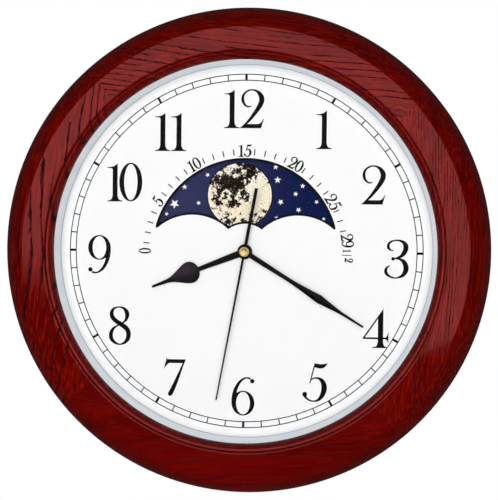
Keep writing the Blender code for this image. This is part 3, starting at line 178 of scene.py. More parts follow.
class Paint:
    """A node tree under construction: of a material, or of the world."""

    def __init__(self, tree):
        self.tree = tree

    def node(self, kind, settings=None, sockets=None, output=0):
        """One of the outputs of a new node, by name or number."""
        made = self.tree.nodes.new(kind)
        for name, value in (settings or {}).items():
            setattr(made, name, value)
        for name, value in (sockets or {}).items():
            self.feed(made.inputs[name], value)
        return Wire(self, made.outputs[output])

    def feed(self, socket, value):
        if isinstance(value, Wire):
            self.tree.links.new(value.socket, socket)
        elif hasattr(socket, "default_value") and hasattr(socket.default_value, "__len__"):
            socket.default_value = (*value, 1.0)[: len(socket.default_value)]
        else:
            socket.default_value = value

    def maths(self, operation, *values):
        return self.node("ShaderNodeMath", {"operation": operation}, dict(enumerate(values)))

    def mix(self, factor, first, second):
        """Between two colours."""
        return self.node("ShaderNodeMix", {"data_type": "RGBA"}, {0: factor, 6: first, 7: second}, output=2)

    def vector(self, operation, *values, output=0):
        return self.node("ShaderNodeVectorMath", {"operation": operation}, dict(enumerate(values)), output)

    def place(self, turn=(0, 0, 0), shift=(0, 0, 0), where=None):
        """Where a point is in the row frame, turned and shifted by metres, in millimetres."""
        where = where or self.node("ShaderNodeTexCoord", output="Object")
        inputs = {"Vector": where, "Rotation": turn, "Location": shift}
        turned = self.node("ShaderNodeMapping", {"vector_type": "POINT"}, inputs)
        return self.vector("MULTIPLY", turned, (1 / MM, 1 / MM, 1 / MM))

    def noise(self, size, detail=2.0, roughness=0.5, distortion=0.0, where=None):
        """0 to 1, with lumps about that many millimetres across."""
        inputs = {"Vector": where or self.place(), "Scale": 1 / size, "Detail": detail}
        inputs.update(Roughness=roughness, Distortion=distortion)
        return self.node("ShaderNodeTexNoise", None, inputs)

    def bump(self, height, depth):
        """A normal for a height of 0 to 1 that stands for that many millimetres."""
        return self.node("ShaderNodeBump", None, {"Height": height, "Distance": depth * MM, "Strength": 1.0})


class Finish(Paint):
    """A material with one Principled shader; what changes over the surface is fed to it afterwards."""

    def __init__(self, name, colour, roughness, metallic=0.0, **sockets):
        self.material = bpy.data.materials.new(name)
        self.material.use_nodes = True
        self.material.diffuse_color = (*colour, 1.0)
        super().__init__(self.material.node_tree)
        self.shader = self.tree.nodes["Principled BSDF"]
        self.set(Base_Color=colour, Roughness=roughness, Metallic=metallic, **sockets)

    def set(self, **sockets):
        for name, value in sockets.items():
            self.feed(self.shader.inputs[name.replace("_", " ")], value)
        return self


def lacquered_wood(name, shift, grain, pitch, figured, waves):
    """Mahogany-red gloss over open-pored wood.

    The grain runs at that angle from the row frame's x, about y. Its growth rings are pitch
    millimetres apart and swing by waves millimetres; figured says how strongly they show.
    """
    finish = Finish(name, (0.1, 0.001, 0.001), 0.08, Specular_IOR_Level=0.5, Specular_Tint=(1.0, 0.3, 0.3))
    where = finish.place((0, grain, 0), shift)
    along, depth, across = (
        finish.node("ShaderNodeSeparateXYZ", None, {0: where}, output=axis) for axis in ("X", "Y", "Z")
    )

    def drawn_out(stretch):
        return finish.node("ShaderNodeCombineXYZ", None, {"X": along / stretch, "Y": depth, "Z": across})

    swing = finish.noise(40.0, 1.0, 0.4, where=drawn_out(4))
    ripple = finish.noise(3.0, 3.0, 0.7, where=drawn_out(5))
    rings = (across + 2 * waves * swing + 2.4 * ripple) / pitch
    ring = finish.maths("FRACT", rings)
    strength = finish.noise(5.0, where=drawn_out(10)).between(0.32, 0.58)
    pores = finish.noise(0.9, 3.0, 0.65, where=drawn_out(3.5))
    early = ring.between(0.4, 0.0) * strength
    open_pores = (early * 1.4 + 3.2 * (pores - 0.55)).between(0.4, 0.8)
    streak = finish.noise(1.4, 3.0, 0.6, where=drawn_out(30))

    # The opening's edge by the glass is dull, and its red is darkened there as painted shade
    flat = finish.vector("MULTIPLY", finish.node("ShaderNodeTexCoord", output="Object"), (1, 0, 1))
    from_axis = finish.vector("DISTANCE", flat, (0, 0, AXIS_HEIGHT), output="Value") / MM
    lip_dull_and_painted_shade = from_axis.between(BEAD_R - 0.4, BEAD_R - 1.5)

    figure = finish.noise(10.0, where=drawn_out(10))
    red = finish.mix(figure.between(0.3, 0.7), (0.085, 0.0002, 0.0003), (0.14, 0.0006, 0.0005))
    red = finish.mix(streak.between(0.42, 0.7) * 0.7 * figured, red, (0.3, 0.01, 0.001))
    red = finish.mix(early * 0.5 * figured, red, (0.045, 0.0002, 0.0006))
    red = finish.mix(open_pores * figured, red, (0.012, 0.0004, 0.0012))
    # Painted shade: the red darkens towards the glass opening
    red = finish.mix(lip_dull_and_painted_shade * 0.4, red, (0.012, 0.0001, 0.0001))
    finish.set(
        Base_Color=red,
        Roughness=0.07 + 0.05 * streak + 0.75 * figured * open_pores + 0.6 * lip_dull_and_painted_shade,
        Normal=finish.bump(open_pores, -0.04 * figured),
    )
    return finish.material


def clear_glass():
    """A thin pane: all of it lets light through but for a weak soft gloss."""
    finish = Finish("clear_glass", (1.0, 1.0, 1.0), 0.0)
    nodes = finish.tree.nodes
    nodes.remove(finish.shader)
    clear = finish.node("ShaderNodeBsdfTransparent")
    gloss = finish.node("ShaderNodeBsdfGlossy", None, {"Roughness": 0.12})
    fresnel = finish.node("ShaderNodeFresnel", None, {"IOR": 1.06})
    both = finish.node("ShaderNodeMixShader", None, {0: fresnel, 1: clear, 2: gloss})
    finish.feed(nodes["Material Output"].inputs["Surface"], both)
    return finish.material


def plain_plastic(name, colour, roughness, texture=0.6, depth=0.01, blotched=0.07, **sockets):
    """Moulded plastic: a fine even texture and slight blotches in colour and gloss."""
    finish = Finish(name, colour, roughness, **sockets)
    grain = finish.noise(texture, 3.0, 0.6)
    blotch = finish.noise(14.0)
    dark = tuple(value * (1 - blotched) for value in colour)
    return finish.set(
        Base_Color=finish.mix(blotch.between(0.3, 0.7), dark, colour),
        Roughness=roughness * (0.85 + 0.3 * blotch),
        Normal=finish.bump(grain, depth),
    ).material


def bare_metal(name, colour, roughness, size=0.5, depth=0.004):
    """Metal with fine tool marks, duller and darker in patches."""
    finish = Finish(name, colour, roughness, 1.0)
    marks = finish.noise(size, 3.0, 0.65)
    patch = finish.noise(6.0, 3.0, 0.55)
    dull = tuple(value * 0.8 for value in colour)
    return finish.set(
        Base_Color=finish.mix(patch.between(0.35, 0.7), colour, dull),
        Roughness=roughness * (0.7 + 0.4 * patch + 0.4 * marks),
        Normal=finish.bump(marks, depth),
    ).material


def hour_hand_lacquer():
    """Black, with a softly shining coat over the bulb and a lighter purple tinge there, which is a painted
    sheen.
    """
    black, painted_sheen = (0.002, 0.0017, 0.002), (0.0105, 0.005, 0.011)
    finish = Finish("black_hour_hand", black, 0.35, Specular_IOR_Level=0.05, Coat_Roughness=0.3)
    where = finish.node("ShaderNodeTexCoord", output="Object")
    # The mask lies a little beyond the bulb's middle, over the painted sheen, and also weights the coat
    bulb_at = CLOCK @ Vector((*polar(44.5, HOUR_AT), HOUR_BACK + 0.8))
    bulb = (finish.vector("DISTANCE", where, bulb_at, output="Value") / MM).between(12.5, 5.5)
    speck = finish.noise(0.35, 3.0, 0.6)
    # The lighter tinge in the bulb is a painted sheen
    return finish.set(
        Base_Color=finish.mix(bulb, black, painted_sheen),
        Coat_Weight=0.22 * bulb + 0.02 * speck,
        Roughness=0.32 + 0.08 * speck,
        Normal=finish.bump(speck, 0.002),
    ).material


def pale_ring_paint():
    """Blue-white paint, a little darker towards the dial, with a painted shadow line along the ring's foot,
    where it stands on the dial.
    """
    finish = Finish("pale_ring_paint", (0.9, 0.95, 1.0), 0.4)
    where = finish.place()
    height = finish.node("ShaderNodeSeparateXYZ", None, {0: where}, output="Y") * -1
    grain = finish.noise(0.9, 3.0, 0.6, where=where)
    blotch = finish.noise(14.0, where=where)
    paint = finish.mix(height.between(29, 39), (0.8, 0.87, 0.94), (0.96, 0.985, 1.0))
    paint = finish.mix(blotch.between(0.3, 0.7) * 0.4, paint, (0.84, 0.9, 0.96))
    # A painted shadow: the paint greys along the ring's foot, where it stands on the dial
    painted_foot_shadow = (height + 0.8 * (grain - 0.5)).between(30.2, 29.2)
    paint = finish.mix(painted_foot_shadow, paint, (0.46, 0.51, 0.55))
    finish.set(Base_Color=paint, Roughness=0.35 + 0.2 * blotch, Normal=finish.bump(grain, 0.004))
    return finish.material


def hardboard():
    """Brown pressed fibres with dark flecks."""
    finish = Finish("pressed_hardboard", (0.29, 0.19, 0.11), 0.75)
    fibre = finish.noise(1.6, 5.0, 0.7, 1.5)
    fleck = finish.noise(0.7)
    blotch = finish.noise(40.0)
    brown = finish.mix(fibre.between(0.35, 0.65), (0.2, 0.12, 0.06), (0.33, 0.22, 0.13))
    brown = finish.mix(fleck.between(0.6, 0.75) * 0.6, brown, (0.09, 0.05, 0.03))
    brown = finish.mix(blotch.between(0.3, 0.7) * 0.35, brown, (0.24, 0.14, 0.07))
    return finish.set(Base_Color=brown, Roughness=0.6 + 0.3 * fibre, Normal=finish.bump(fibre, 0.05)).material


def night_sky():
    """Navy, a little greyer and lighter at the left of the window, and finely mottled."""
    finish = Finish("night_sky_print", (0.02, 0.03, 0.12), 0.6, Specular_IOR_Level=0.02)
    where = finish.node("ShaderNodeTexCoord", output="Object")
    across = finish.node("ShaderNodeSeparateXYZ", None, {0: where}, output="X")
    speck = finish.noise(0.8, 3.0, 0.6)
    blue = finish.mix(across.between(-55 * MM, 50 * MM), (0.04, 0.041, 0.115), (0.0008, 0.008, 0.062))
    blue = finish.mix(speck * 0.4, blue, (0.01, 0.012, 0.06))
    return finish.set(Base_Color=blue, Roughness=0.5 + 0.15 * speck).material


# Where the moon's seas crowd: x and y from its middle, how far that reaches, and how strongly
CROWDED_SEAS = (
    (-8, 6, 21, 0.21), (8, 16, 11, 0.16), (-7, -18, 8, 0.13), (13, -15, 9, 0.13), (2, -21, 8, 0.13),
)


def moon_print():
    """Cream with crisp brown-black seas, denser towards the upper left, and specks.

    The disc's second moon is the first one turned half round the hands' axis.
    """
    finish = Finish("moon_print", (0.9, 0.84, 0.66), 0.6, Specular_IOR_Level=0.02)
    axis = (0, 0, AXIS_HEIGHT)
    off = finish.vector("SUBTRACT", finish.node("ShaderNodeTexCoord", output="Object"), axis)
    height = finish.node("ShaderNodeSeparateXYZ", None, {0: off}, output="Z")
    side = finish.maths("SIGN", height)
    half_turn = finish.node("ShaderNodeCombineXYZ", None, {"X": side, "Y": 1.0, "Z": side})
    where = finish.vector("ADD", finish.vector("MULTIPLY", off, half_turn), axis)
    middle = polar(MOON_CIRCLE_R, MOON_AT)
    crowding = 0.0
    for x, y, reach, strength in CROWDED_SEAS:
        crowd_at = CLOCK @ Vector((middle[0] + x, middle[1] + y, MOON_DISC_FRONT))
        away = finish.vector("DISTANCE", where, crowd_at, output="Value")
        crowding = crowding + strength * away.between(reach * MM, reach * 0.2 * MM)
    seas = finish.noise(8.0, 2.0, 0.5, 0.3, where=finish.place(where=where))
    coast = finish.noise(3.4, 5.0, 0.72, where=finish.place(turn=(0, 0.4, 0), where=where))
    craters = finish.noise(1.0, 3.0, 0.75, where=finish.place(turn=(0, 0.7, 0), where=where))
    tint = finish.noise(15.0, where=finish.place(where=where))
    cream = finish.mix(tint.between(0.35, 0.65), (1.0, 0.96, 0.84), (1.0, 0.88, 0.66))
    cream = finish.mix(craters.between(0.54, 0.64) * 0.4, cream, (0.45, 0.3, 0.13))
    dark = (seas * 0.4 + 1.1 * (coast - 0.5) + crowding).between(0.315, 0.33)
    dark = dark * craters.between(0.335, 0.35)
    specks = craters.between(0.615, 0.635)
    cream = finish.mix(finish.maths("MAXIMUM", dark, specks), cream, (0.01, 0.004, 0.003))
    return finish.set(Base_Color=cream, Roughness=0.5 + 0.1 * craters).material


def copper_winding():
    """Enamelled wire in even turns side by side, darker in the grooves between them as painted shade."""
    finish = Finish("enamelled_copper", (0.7, 0.3, 0.12), 0.3, 1.0)
    bands = {"wave_type": "BANDS", "bands_direction": "X"}
    wires = finish.node("ShaderNodeTexWave", bands, {0: finish.place(), "Scale": 2.2, "Distortion": 0.3})
    patch = finish.noise(1.5)
    # Painted shade: the copper darkens in the grooves between the turns
    copper = finish.mix(wires.between(0.1, 0.9), (0.3, 0.1, 0.03), (0.75, 0.34, 0.14))
    finish.set(Base_Color=copper, Roughness=0.25 + 0.2 * patch, Normal=finish.bump(wires, 0.08))
    return finish.material


# The finish of each of the record's slots, but for the wood, which differs from plank to plank
FINISHES = {
    "glass": clear_glass(),
    "silver_paint": pale_ring_paint(),
    "dial_white": plain_plastic("dial_sheet", (0.97, 0.97, 0.97), 0.6, 0.5, 0.002, 0.012),
    "fibreboard": hardboard(),
    "night_blue": night_sky(),
    "black_paint": plain_plastic(
        "black_lacquer", (0.0025, 0.0022, 0.0025), 0.3, 0.35, 0.002, Specular_IOR_Level=0.05
    ),
    "brass": bare_metal("turned_brass", (0.83, 0.6, 0.26), 0.42),
    "steel": bare_metal("zinc_plated_steel", (0.62, 0.62, 0.63), 0.3),
    "black_plastic": plain_plastic("black_moulding", (0.022, 0.022, 0.024), 0.42, 0.4, 0.02),
    "white_plastic": plain_plastic("white_acetal", (0.85, 0.84, 0.8), 0.4, 0.8, 0.004),
    "copper_wire": copper_winding(),
    "circuit_green": plain_plastic("green_solder_mask", (0.02, 0.16, 0.06), 0.35, 1.2, 0.01),
    "magnet": bare_metal("sintered_magnet", (0.13, 0.13, 0.14), 0.45, size=0.25, depth=0.01),
    "cell_wrap": plain_plastic("shrink_wrap", (0.04, 0.13, 0.27), 0.3, 1.0, 0.004),
}
HOUR_BLACK = hour_hand_lacquer()
SECOND_BLACK = plain_plastic("black_second_hand", (0.004, 0.0035, 0.004), 0.45, Specular_IOR_Level=0.05)
INK = plain_plastic("black_brown_ink", (0.007, 0.0048, 0.0055), 0.6, 0.4, 0.0, Specular_IOR_Level=0.02)
STAR_INK = plain_plastic("white_star_ink", (1.0, 1.0, 1.0), 0.5, 0.4, 0.001, 0.02)
MOON_INK = moon_print()

for part in frame["record"]["subparts"]:
    node = frame["nodes"][part["node"]]
    finish = FINISHES.get(part["material_slot"])
    if finish:
        node.data.materials.clear()
        node.data.materials.append(finish)


# Meshes


def added(name, data):
    """A new object in the scene."""
    obj = bpy.data.objects.new(name, data)
    bpy.context.scene.collection.objects.link(obj)
    return obj


def standing(name, bm):
    """A new object from a mesh in the clock's frame."""
    bmesh.ops.recalc_face_normals(bm, faces=bm.faces)
    mesh = bpy.data.meshes.new(name)
    bm.to_mesh(mesh)
    bm.free()
    mesh.transform(CLOCK)
    return added(name, mesh)


def shade(mesh, sharp=35):
    """Smooth, but for edges that turn by more than that many degrees."""
    mesh.shade_smooth()
    mesh.set_sharp_from_angle(angle=math.radians(sharp))


def arc(centre, radius, start, end, steps):
    """Points on an arc, with both ends; the angles are clockwise from 12."""
    return [polar(radius, start + (end - start) * i / steps, centre) for i in range(steps + 1)]


def bend(start, corner, end, t):
    """A point on the curve that runs from start to end and leans to the corner."""
    return tuple(a * (1 - t) ** 2 + 2 * b * t * (1 - t) + c * t**2 for a, b, c in zip(start, corner, end))


def eased(outline, corner, steps=3):
    """A closed outline with its corners rounded off."""
    points = [Vector(point) for point in outline]
    result = []
    for i, at in enumerate(points):
        before, after = points[i - 1] - at, points[(i + 1) % len(points)] - at
        half = before.angle(after) / 2
        reach = min(corner / math.tan(half), before.length * 0.45, after.length * 0.45)
        start, end = at + before.normalized() * reach, at + after.normalized() * reach
        result += [bend(start, at, end, step / steps) for step in range(steps + 1)]
    return result


def spun(profile, steps=160, start=0.0, sweep=math.tau):
    """A closed section of (radius, z) points turned about the axis; a part turn gets flat ends."""
    bm = bmesh.new()
    whole = sweep == math.tau
    count = steps if whole else steps + 1
    rings = []
    for i in range(count):
        angle = start + sweep * i / steps
        rings.append([bm.verts.new((*polar(r, angle), z)) for r, z in profile])
    for i in range(steps):
        here, there = rings[i], rings[(i + 1) % count]
        for j in range(len(profile)):
            k = (j + 1) % len(profile)
            if profile[j][0] > 0 or profile[k][0] > 0:
                bm.faces.new((here[j], here[k], there[k], there[j]))
    if not whole:
        bm.faces.new(rings[0])
        bm.faces.new(rings[-1])
    bmesh.ops.remove_doubles(bm, verts=bm.verts, dist=0.0001)
    return bm


def plate(outlines, low, high, swell=0.0):
    """A flat plate: the first outline is its edge and the others are its holes; swell makes it fatter."""
    curve = bpy.data.curves.new("plate", "CURVE")
    curve.dimensions = "2D"
    curve.fill_mode = "BOTH"
    curve.extrude = (high - low) / 2
    curve.offset = swell
    for outline in outlines:
        spline = curve.splines.new("POLY")
        spline.points.add(len(outline) - 1)
        for point, (x, y) in zip(spline.points, outline):
            point.co = (x, y, 0, 1)
        spline.use_cyclic_u = True
    shape = added("plate", curve)
    mesh = bpy.data.meshes.new_from_object(shape.evaluated_get(bpy.context.evaluated_depsgraph_get()))
    bpy.data.objects.remove(shape)
    bpy.data.curves.remove(curve)
    bm = bmesh.new()
    bm.from_mesh(mesh)
    bpy.data.meshes.remove(mesh)
    bmesh.ops.remove_doubles(bm, verts=bm.verts, dist=0.0001)
    bmesh.ops.translate(bm, vec=(0, 0, (low + high) / 2), verts=bm.verts)
    return bm


def smooth_between(a, b, c, d, t):
    """A share t of the way from b to c on a smooth curve through four values."""
    return 0.5 * (2 * b + (c - a) * t + (2 * a - 5 * b + 4 * c - d) * t**2 + (3 * b - a - 3 * c + d) * t**3)


def smooth_way(points, closed, steps=6):
    """The points with others between them, on a smooth curve through all of them."""
    count = len(points)
    way = []
    for i in range(count if closed else count - 1):
        places = [i - 1, i, i + 1, i + 2]
        near = [points[k % count if closed else min(max(k, 0), count - 1)] for k in places]
        for step in range(steps):
            way.append(tuple(smooth_between(*values, step / steps) for values in zip(*near)))
    return way if closed else way + [points[-1]]


def stroke(points, low, high, closed=False):
    """A drawn line whose half width changes: points are (x, y, half width) and a smooth curve joins them."""
    way = smooth_way(points, closed)
    bm = bmesh.new()
    rows = []
    total = len(way)
    for i, (x, y, half) in enumerate(way):
        before = way[i - 1] if closed or i else way[i]
        after = way[(i + 1) % total] if closed or i < total - 1 else way[i]
        aside = Vector((before[1] - after[1], after[0] - before[0])).normalized() * max(half, 0.01)
        corners = ((1, high), (-1, high), (-1, low), (1, low))
        rows.append([bm.verts.new((x + side * aside.x, y + side * aside.y, z)) for side, z in corners])
    for i in range(total if closed else total - 1):
        here, there = rows[i], rows[(i + 1) % total]
        for k in range(4):
            bm.faces.new((here[k], here[(k + 1) % 4], there[(k + 1) % 4], there[k]))
    if not closed:
        bm.faces.new(rows[0])
        bm.faces.new(rows[-1])
    return bm


def join(*parts):
    """One mesh from several."""
    whole = bmesh.new()
    for part in parts:
        mesh = bpy.data.meshes.new("part")
        part.to_mesh(mesh)
        part.free()
        whole.from_mesh(mesh)
        bpy.data.meshes.remove(mesh)
    return whole


def turn(bm, angle):
    """Turns a mesh clockwise about the hands' axis."""
    bmesh.ops.rotate(bm, matrix=Matrix.Rotation(-angle, 3, "Z"), verts=bm.verts)
    return bm


def piece(name, bm, finish, body=BODY, replaces=(), sharp=35):
    """Puts a mesh in the clock's frame on a body, in the place of CAD nodes."""
    obj = standing(name, bm)
    obj.data.materials.append(finish)
    shade(obj.data, sharp)
    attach(obj, body)
    if replaces:
        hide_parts(*replaces)
    return obj


# The wooden ring


def round_points(centre, radius, start, end, steps):
    """Points of a section on an arc; the angles, in degrees, turn from outwards to the front."""
    angles = [math.radians(start + (end - start) * i / steps) for i in range(steps + 1)]
    return [(centre[0] + radius * math.cos(t), centre[1] + radius * math.sin(t)) for t in angles]


def ring_section():
    """From the glass opening over the bead, the groove, the face and the shoulder down to the back."""
    bead_r, crest_r, edge_r, back_r, small = 5.0, 3.8, 1.4, 3.0, 0.2
    groove = BEAD_FOOT + 3.6
    start = math.radians(25)
    sine, cosine = math.sin(start), math.cos(start)
    shoulder = []
    for i in range(25):
        t = start + (math.pi / 2 - start) * i / 24
        out = (math.sin(t) - sine) / (1 - sine)
        up = math.cos(t) / cosine
        height = SHOULDER_FOOT + (SHOULDER_FRONT - SHOULDER_FOOT) * up
        shoulder.append((SHOULDER_R + (RIM_R - SHOULDER_R) * out, height))
    return [
        (SEAT_R, LIP_BACK),
        (OPENING_R + small, LIP_BACK),
        (OPENING_R, LIP_BACK + small),
        *round_points((OPENING_R + bead_r, BEAD_FOOT), bead_r, 180, 124, 8),
        *round_points((BEAD_R + 1.46, BEAD_FOOT + 1.0), crest_r, 119.5, 97, 5),
        (BEAD_R + 1.15, BEAD_FOOT + 4.55),
        (BEAD_R + 1.2, groove),
        (FACE_R, groove),
        *round_points((FACE_R + edge_r, FACE_FRONT - edge_r), edge_r, 180, 90, 6),
        (FACE_R + 2.0, FACE_FRONT - 0.08),
        (SHOULDER_R - 0.5, SHOULDER_FRONT + 0.11),
        *shoulder,
        *round_points((RIM_R - back_r, back_r), back_r, 0, -90, 6),
        (LEDGE_R + 2 * small, 0),
        (LEDGE_R, 2 * small),
        (LEDGE_R, LEDGE_FRONT),
        (SEAT_R, LEDGE_FRONT),
    ]


def carved(obj, cutters):
    """Cuts meshes in the clock's frame out of a piece."""
    for bm in cutters:
        tool = standing("cutter", bm)
        boolean = obj.modifiers.new("cut", "BOOLEAN")
        boolean.operation = "DIFFERENCE"
        boolean.object = tool
        boolean.solver = "EXACT"
        graph = bpy.context.evaluated_depsgraph_get()
        cut = bpy.data.meshes.new_from_object(obj.evaluated_get(graph))
        obj.modifiers.clear()
        spare = (obj.data, tool.data)
        obj.data = cut
        bpy.data.objects.remove(tool)
        for mesh in spare:
            bpy.data.meshes.remove(mesh)
    shade(obj.data)


def disc_outline(radius, steps=24, centre=(0.0, 0.0)):
    return arc(centre, radius, 0, math.tau, steps)[:-1]


def recess(half, corner, deep):
    """A cutter for a rectangular recess round the hanger plate's middle, that deep from the back."""
    x, y = half
    outline = [(-x, HANGER_Y - y), (x, HANGER_Y - y), (x, HANGER_Y + y), (-x, HANGER_Y + y)]
    return plate([eased(outline, corner, 4) if corner else outline], -1, deep)


def screw_hole(centre, low, high):
    return plate([disc_outline(SCREW_HOLE_R, centre=centre)], low, high)


# Each plank's grain angle, ring pitch, how strongly the rings show, and how far they swing
GRAIN = {
    "top": (math.radians(-6), 3.4, 0.95, 10),
    "right": (math.radians(88), 2.0, 0.9, 6),
    "bottom": (math.radians(4), 5.0, 0.35, 16),
    "left": (math.radians(83), 5.2, 1.0, 20),
}


def wooden_ring():
    """Four mitred planks, each from its own part of the wood."""
    glue_gap = 0.01 / OPENING_R
    sweep = math.pi / 2 - 2 * glue_gap
    hanger = [recess(HANGER_HALF, 0, HANGER_DEEP), recess(POCKET_HALF, POCKET_CORNER, POCKET_DEEP)]
    hanger += [screw_hole((x, HANGER_Y), -1, HANGER_SCREW_DEEP) for x in (-HANGER_SCREW_X, HANGER_SCREW_X)]
    for number, (side, grain) in enumerate(GRAIN.items()):
        quarter = number * math.pi / 2
        plank = spun(ring_section(), 60, FRAME_TURN + quarter - sweep / 2, sweep)
        finish = lacquered_wood(f"lacquered_wood_{side}", (0, number * 0.31, number * 0.47), *grain)
        segment = piece(f"ring_{side}", plank, finish, replaces=[f"frame_segment_{side}"])
        hole_at = polar(BOARD_SCREW_CIRCLE_R, BOARD_SCREW_AT + quarter)
        hole = screw_hole(hole_at, LEDGE_FRONT - 0.7, BOARD_SCREW_END)
        carved(segment, [hole, *hanger] if side == "top" else [hole])


wooden_ring()


# Glass, pale ring and dial


def glass_and_ring():
    """A pane with its edge taken off, and under it a ring of thin wall that leans in to the dial."""
    front_edge, back_edge = 0.5, 0.2
    glass = [(0, GLASS_FRONT), (STACK_R - front_edge, GLASS_FRONT), (STACK_R, GLASS_FRONT - front_edge)]
    glass += [(STACK_R, GLASS_BACK + back_edge), (STACK_R - back_edge, GLASS_BACK), (0, GLASS_BACK)]
    piece("glass_pane", spun(glass), FINISHES["glass"], replaces=["glass"])
    top, foot, wall, corner = STACK_R - 3.2, STACK_R - 5.8, 1.2, 0.5
    section = [
        (STACK_R, BEZEL_FRONT),
        (STACK_R, BEZEL_FRONT - wall),
        (top + wall, BEZEL_FRONT - wall),
        (foot + wall, BEZEL_BACK + wall),
        (STACK_R, BEZEL_BACK + wall),
        (STACK_R, BEZEL_BACK),
        (foot, BEZEL_BACK),
        (top, BEZEL_FRONT),
    ]
    ring = spun(eased(section, corner), 180)
    piece("pale_ring", ring, FINISHES["silver_paint"], replaces=["bezel_ring"])


# The moon window: its arch, the humps below with their middles, the arc round the hands, and the tips
WINDOW_R = 62.4
HUMP_R = 37.0
HUMP_X = 35.9
HUMP_Y = -11.3
HUB_ARC_R = 19.9
TIP_REACH = 5.0
DIAL_HOLE_R = 3.3


def meeting_point(a, a_distance, b, b_distance):
    """The point at those distances from a and b that lies to the left on the way from a to b."""
    between = math.dist(a, b)
    along = (a_distance**2 - b_distance**2 + between**2) / (2 * between)
    aside = math.sqrt(a_distance**2 - along**2)
    ux, uy = (b[0] - a[0]) / between, (b[1] - a[1]) / between
    return (a[0] + along * ux - aside * uy, a[1] + along * uy + aside * ux)


def bearing(centre, point):
    """The angle, clockwise from 12, at which a point is seen from a centre."""
    return math.atan2(point[0] - centre[0], point[1] - centre[1])


def window_outline(inset=0.0):
    """The moon window's edge, moved inwards by inset, with blunt tips."""
    outer, hump, hub = WINDOW_R - inset, HUMP_R + inset, HUB_ARC_R + inset
    left, right, axis = (-HUMP_X, HUMP_Y), (HUMP_X, HUMP_Y), (0.0, 0.0)
    outer_tip = meeting_point(left, hump, axis, outer)
    inner_tip = meeting_point(left, hump, axis, hub)
    mirror = [(-x, y) for x, y in (outer_tip, inner_tip)]
    back_off, hump_off = TIP_REACH / outer, TIP_REACH / hump
    first, last = bearing(axis, mirror[0]) - back_off, bearing(axis, outer_tip) + back_off
    points = arc(axis, outer, first, last, 96)
    near = arc(left, hump, bearing(left, outer_tip) + hump_off, bearing(left, inner_tip), 48)
    points += rounded(points[-1], outer_tip, near[0]) + near
    points += arc(axis, hub, bearing(axis, inner_tip), bearing(axis, mirror[1]), 24)[1:]
    near = arc(right, hump, bearing(right, mirror[1]), bearing(right, mirror[0]) - hump_off, 48)[1:]
    return points + near + rounded(near[-1], mirror[0], points[0])


def rounded(start, corner, end):
    """Points between start and end on a curve that bends at the corner."""
    return [bend(start, corner, end, i / 8) for i in range(1, 8)]


def dial_sheet():
    outlines = [disc_outline(STACK_R, 240), window_outline(), disc_outline(DIAL_HOLE_R, 40)]
    sheet = plate(outlines, DIAL_FRONT - 1.0, DIAL_FRONT)
    piece("dial_sheet", sheet, FINISHES["dial_white"], replaces=["dial"])


# The dial's figures, drawn in a square whose side is the figure's height. A stroke's points are
# (x, y, half width) and a shape's are (x, y).

ONE = [
    (-0.2, 0), (0.19, 0), (0.19, 0.012), (0.125, 0.028), (0.085, 0.065), (0.06, 0.145), (0.06, 0.98),
    (0.015, 0.94), (-0.04, 0.91), (-0.11, 0.893), (-0.197, 0.888), (-0.197, 0.876), (-0.12, 0.872),
    (-0.08, 0.862), (-0.06, 0.835), (-0.06, 0.145), (-0.085, 0.065), (-0.125, 0.028), (-0.2, 0.012),
]
TWO = [
    (0.294, 0.571, 0.003), (0.245, 0.553, 0.012), (0.185, 0.557, 0.016), (0.115, 0.61, 0.022),
    (0.072, 0.7, 0.033), (0.07, 0.8, 0.03), (0.115, 0.895, 0.022), (0.2, 0.96, 0.017), (0.3, 0.985, 0.014),
    (0.4, 0.965, 0.022), (0.49, 0.9, 0.042), (0.55, 0.8, 0.06), (0.555, 0.7, 0.062), (0.52, 0.6, 0.058),
    (0.45, 0.48, 0.05), (0.35, 0.34, 0.04), (0.24, 0.2, 0.03), (0.13, 0.09, 0.02), (0.04, 0.012, 0.012),
]
TWO_FOOT = [
    (0, 0), (0.543, 0), (0.612, 0.23), (0.6, 0.228), (0.565, 0.16), (0.525, 0.12), (0.47, 0.1), (0.14, 0.1)
]
THREE_TOP = [
    (0.24, 0.72, 0.004), (0.17, 0.73, 0.014), (0.105, 0.79, 0.03), (0.105, 0.88, 0.028), (0.17, 0.95, 0.02),
    (0.31, 0.985, 0.014), (0.45, 0.955, 0.03), (0.535, 0.87, 0.055), (0.545, 0.76, 0.06), (0.49, 0.64, 0.05),
    (0.4, 0.56, 0.03), (0.28, 0.52, 0.014), (0.2, 0.51, 0.012),
]
THREE_FOOT = [
    (0.28, 0.515, 0.012), (0.4, 0.5, 0.025), (0.5, 0.43, 0.048), (0.555, 0.31, 0.062), (0.545, 0.19, 0.058),
    (0.47, 0.08, 0.038), (0.33, 0.018, 0.015), (0.2, 0.03, 0.018), (0.08, 0.1, 0.03), (0.04, 0.19, 0.035),
    (0.07, 0.28, 0.022), (0.15, 0.335, 0.004),
]
FOUR = [
    [(0.381, 0), (0.508, 0), (0.508, 1.0), (0.381, 0.816)],
    [(0, 0.262), (0.508, 1.0), (0.47, 0.9), (0.045, 0.272)],
    [(0, 0.228), (0.64, 0.228), (0.64, 0.265), (0, 0.265)],
    [(0.645, 0.39), (0.615, 0.3), (0.58, 0.265), (0.58, 0.228), (0.615, 0.2), (0.645, 0.135)],
    [
        (0.24, 0), (0.62, 0), (0.62, 0.012), (0.56, 0.03), (0.525, 0.07), (0.508, 0.14), (0.381, 0.14),
        (0.364, 0.07), (0.33, 0.03), (0.24, 0.012),
    ],
]
FIVE_FLAG = [
    (0.315, 1.0), (0.37, 0.985), (0.48, 0.972), (0.56, 0.98), (0.645, 1.0), (0.6, 0.935), (0.545, 0.885),
    (0.47, 0.87), (0.4, 0.878), (0.32, 0.9),
]
FIVE_STEM = [(0.325, 0.985, 0.012), (0.255, 0.72, 0.012), (0.195, 0.475, 0.009)]
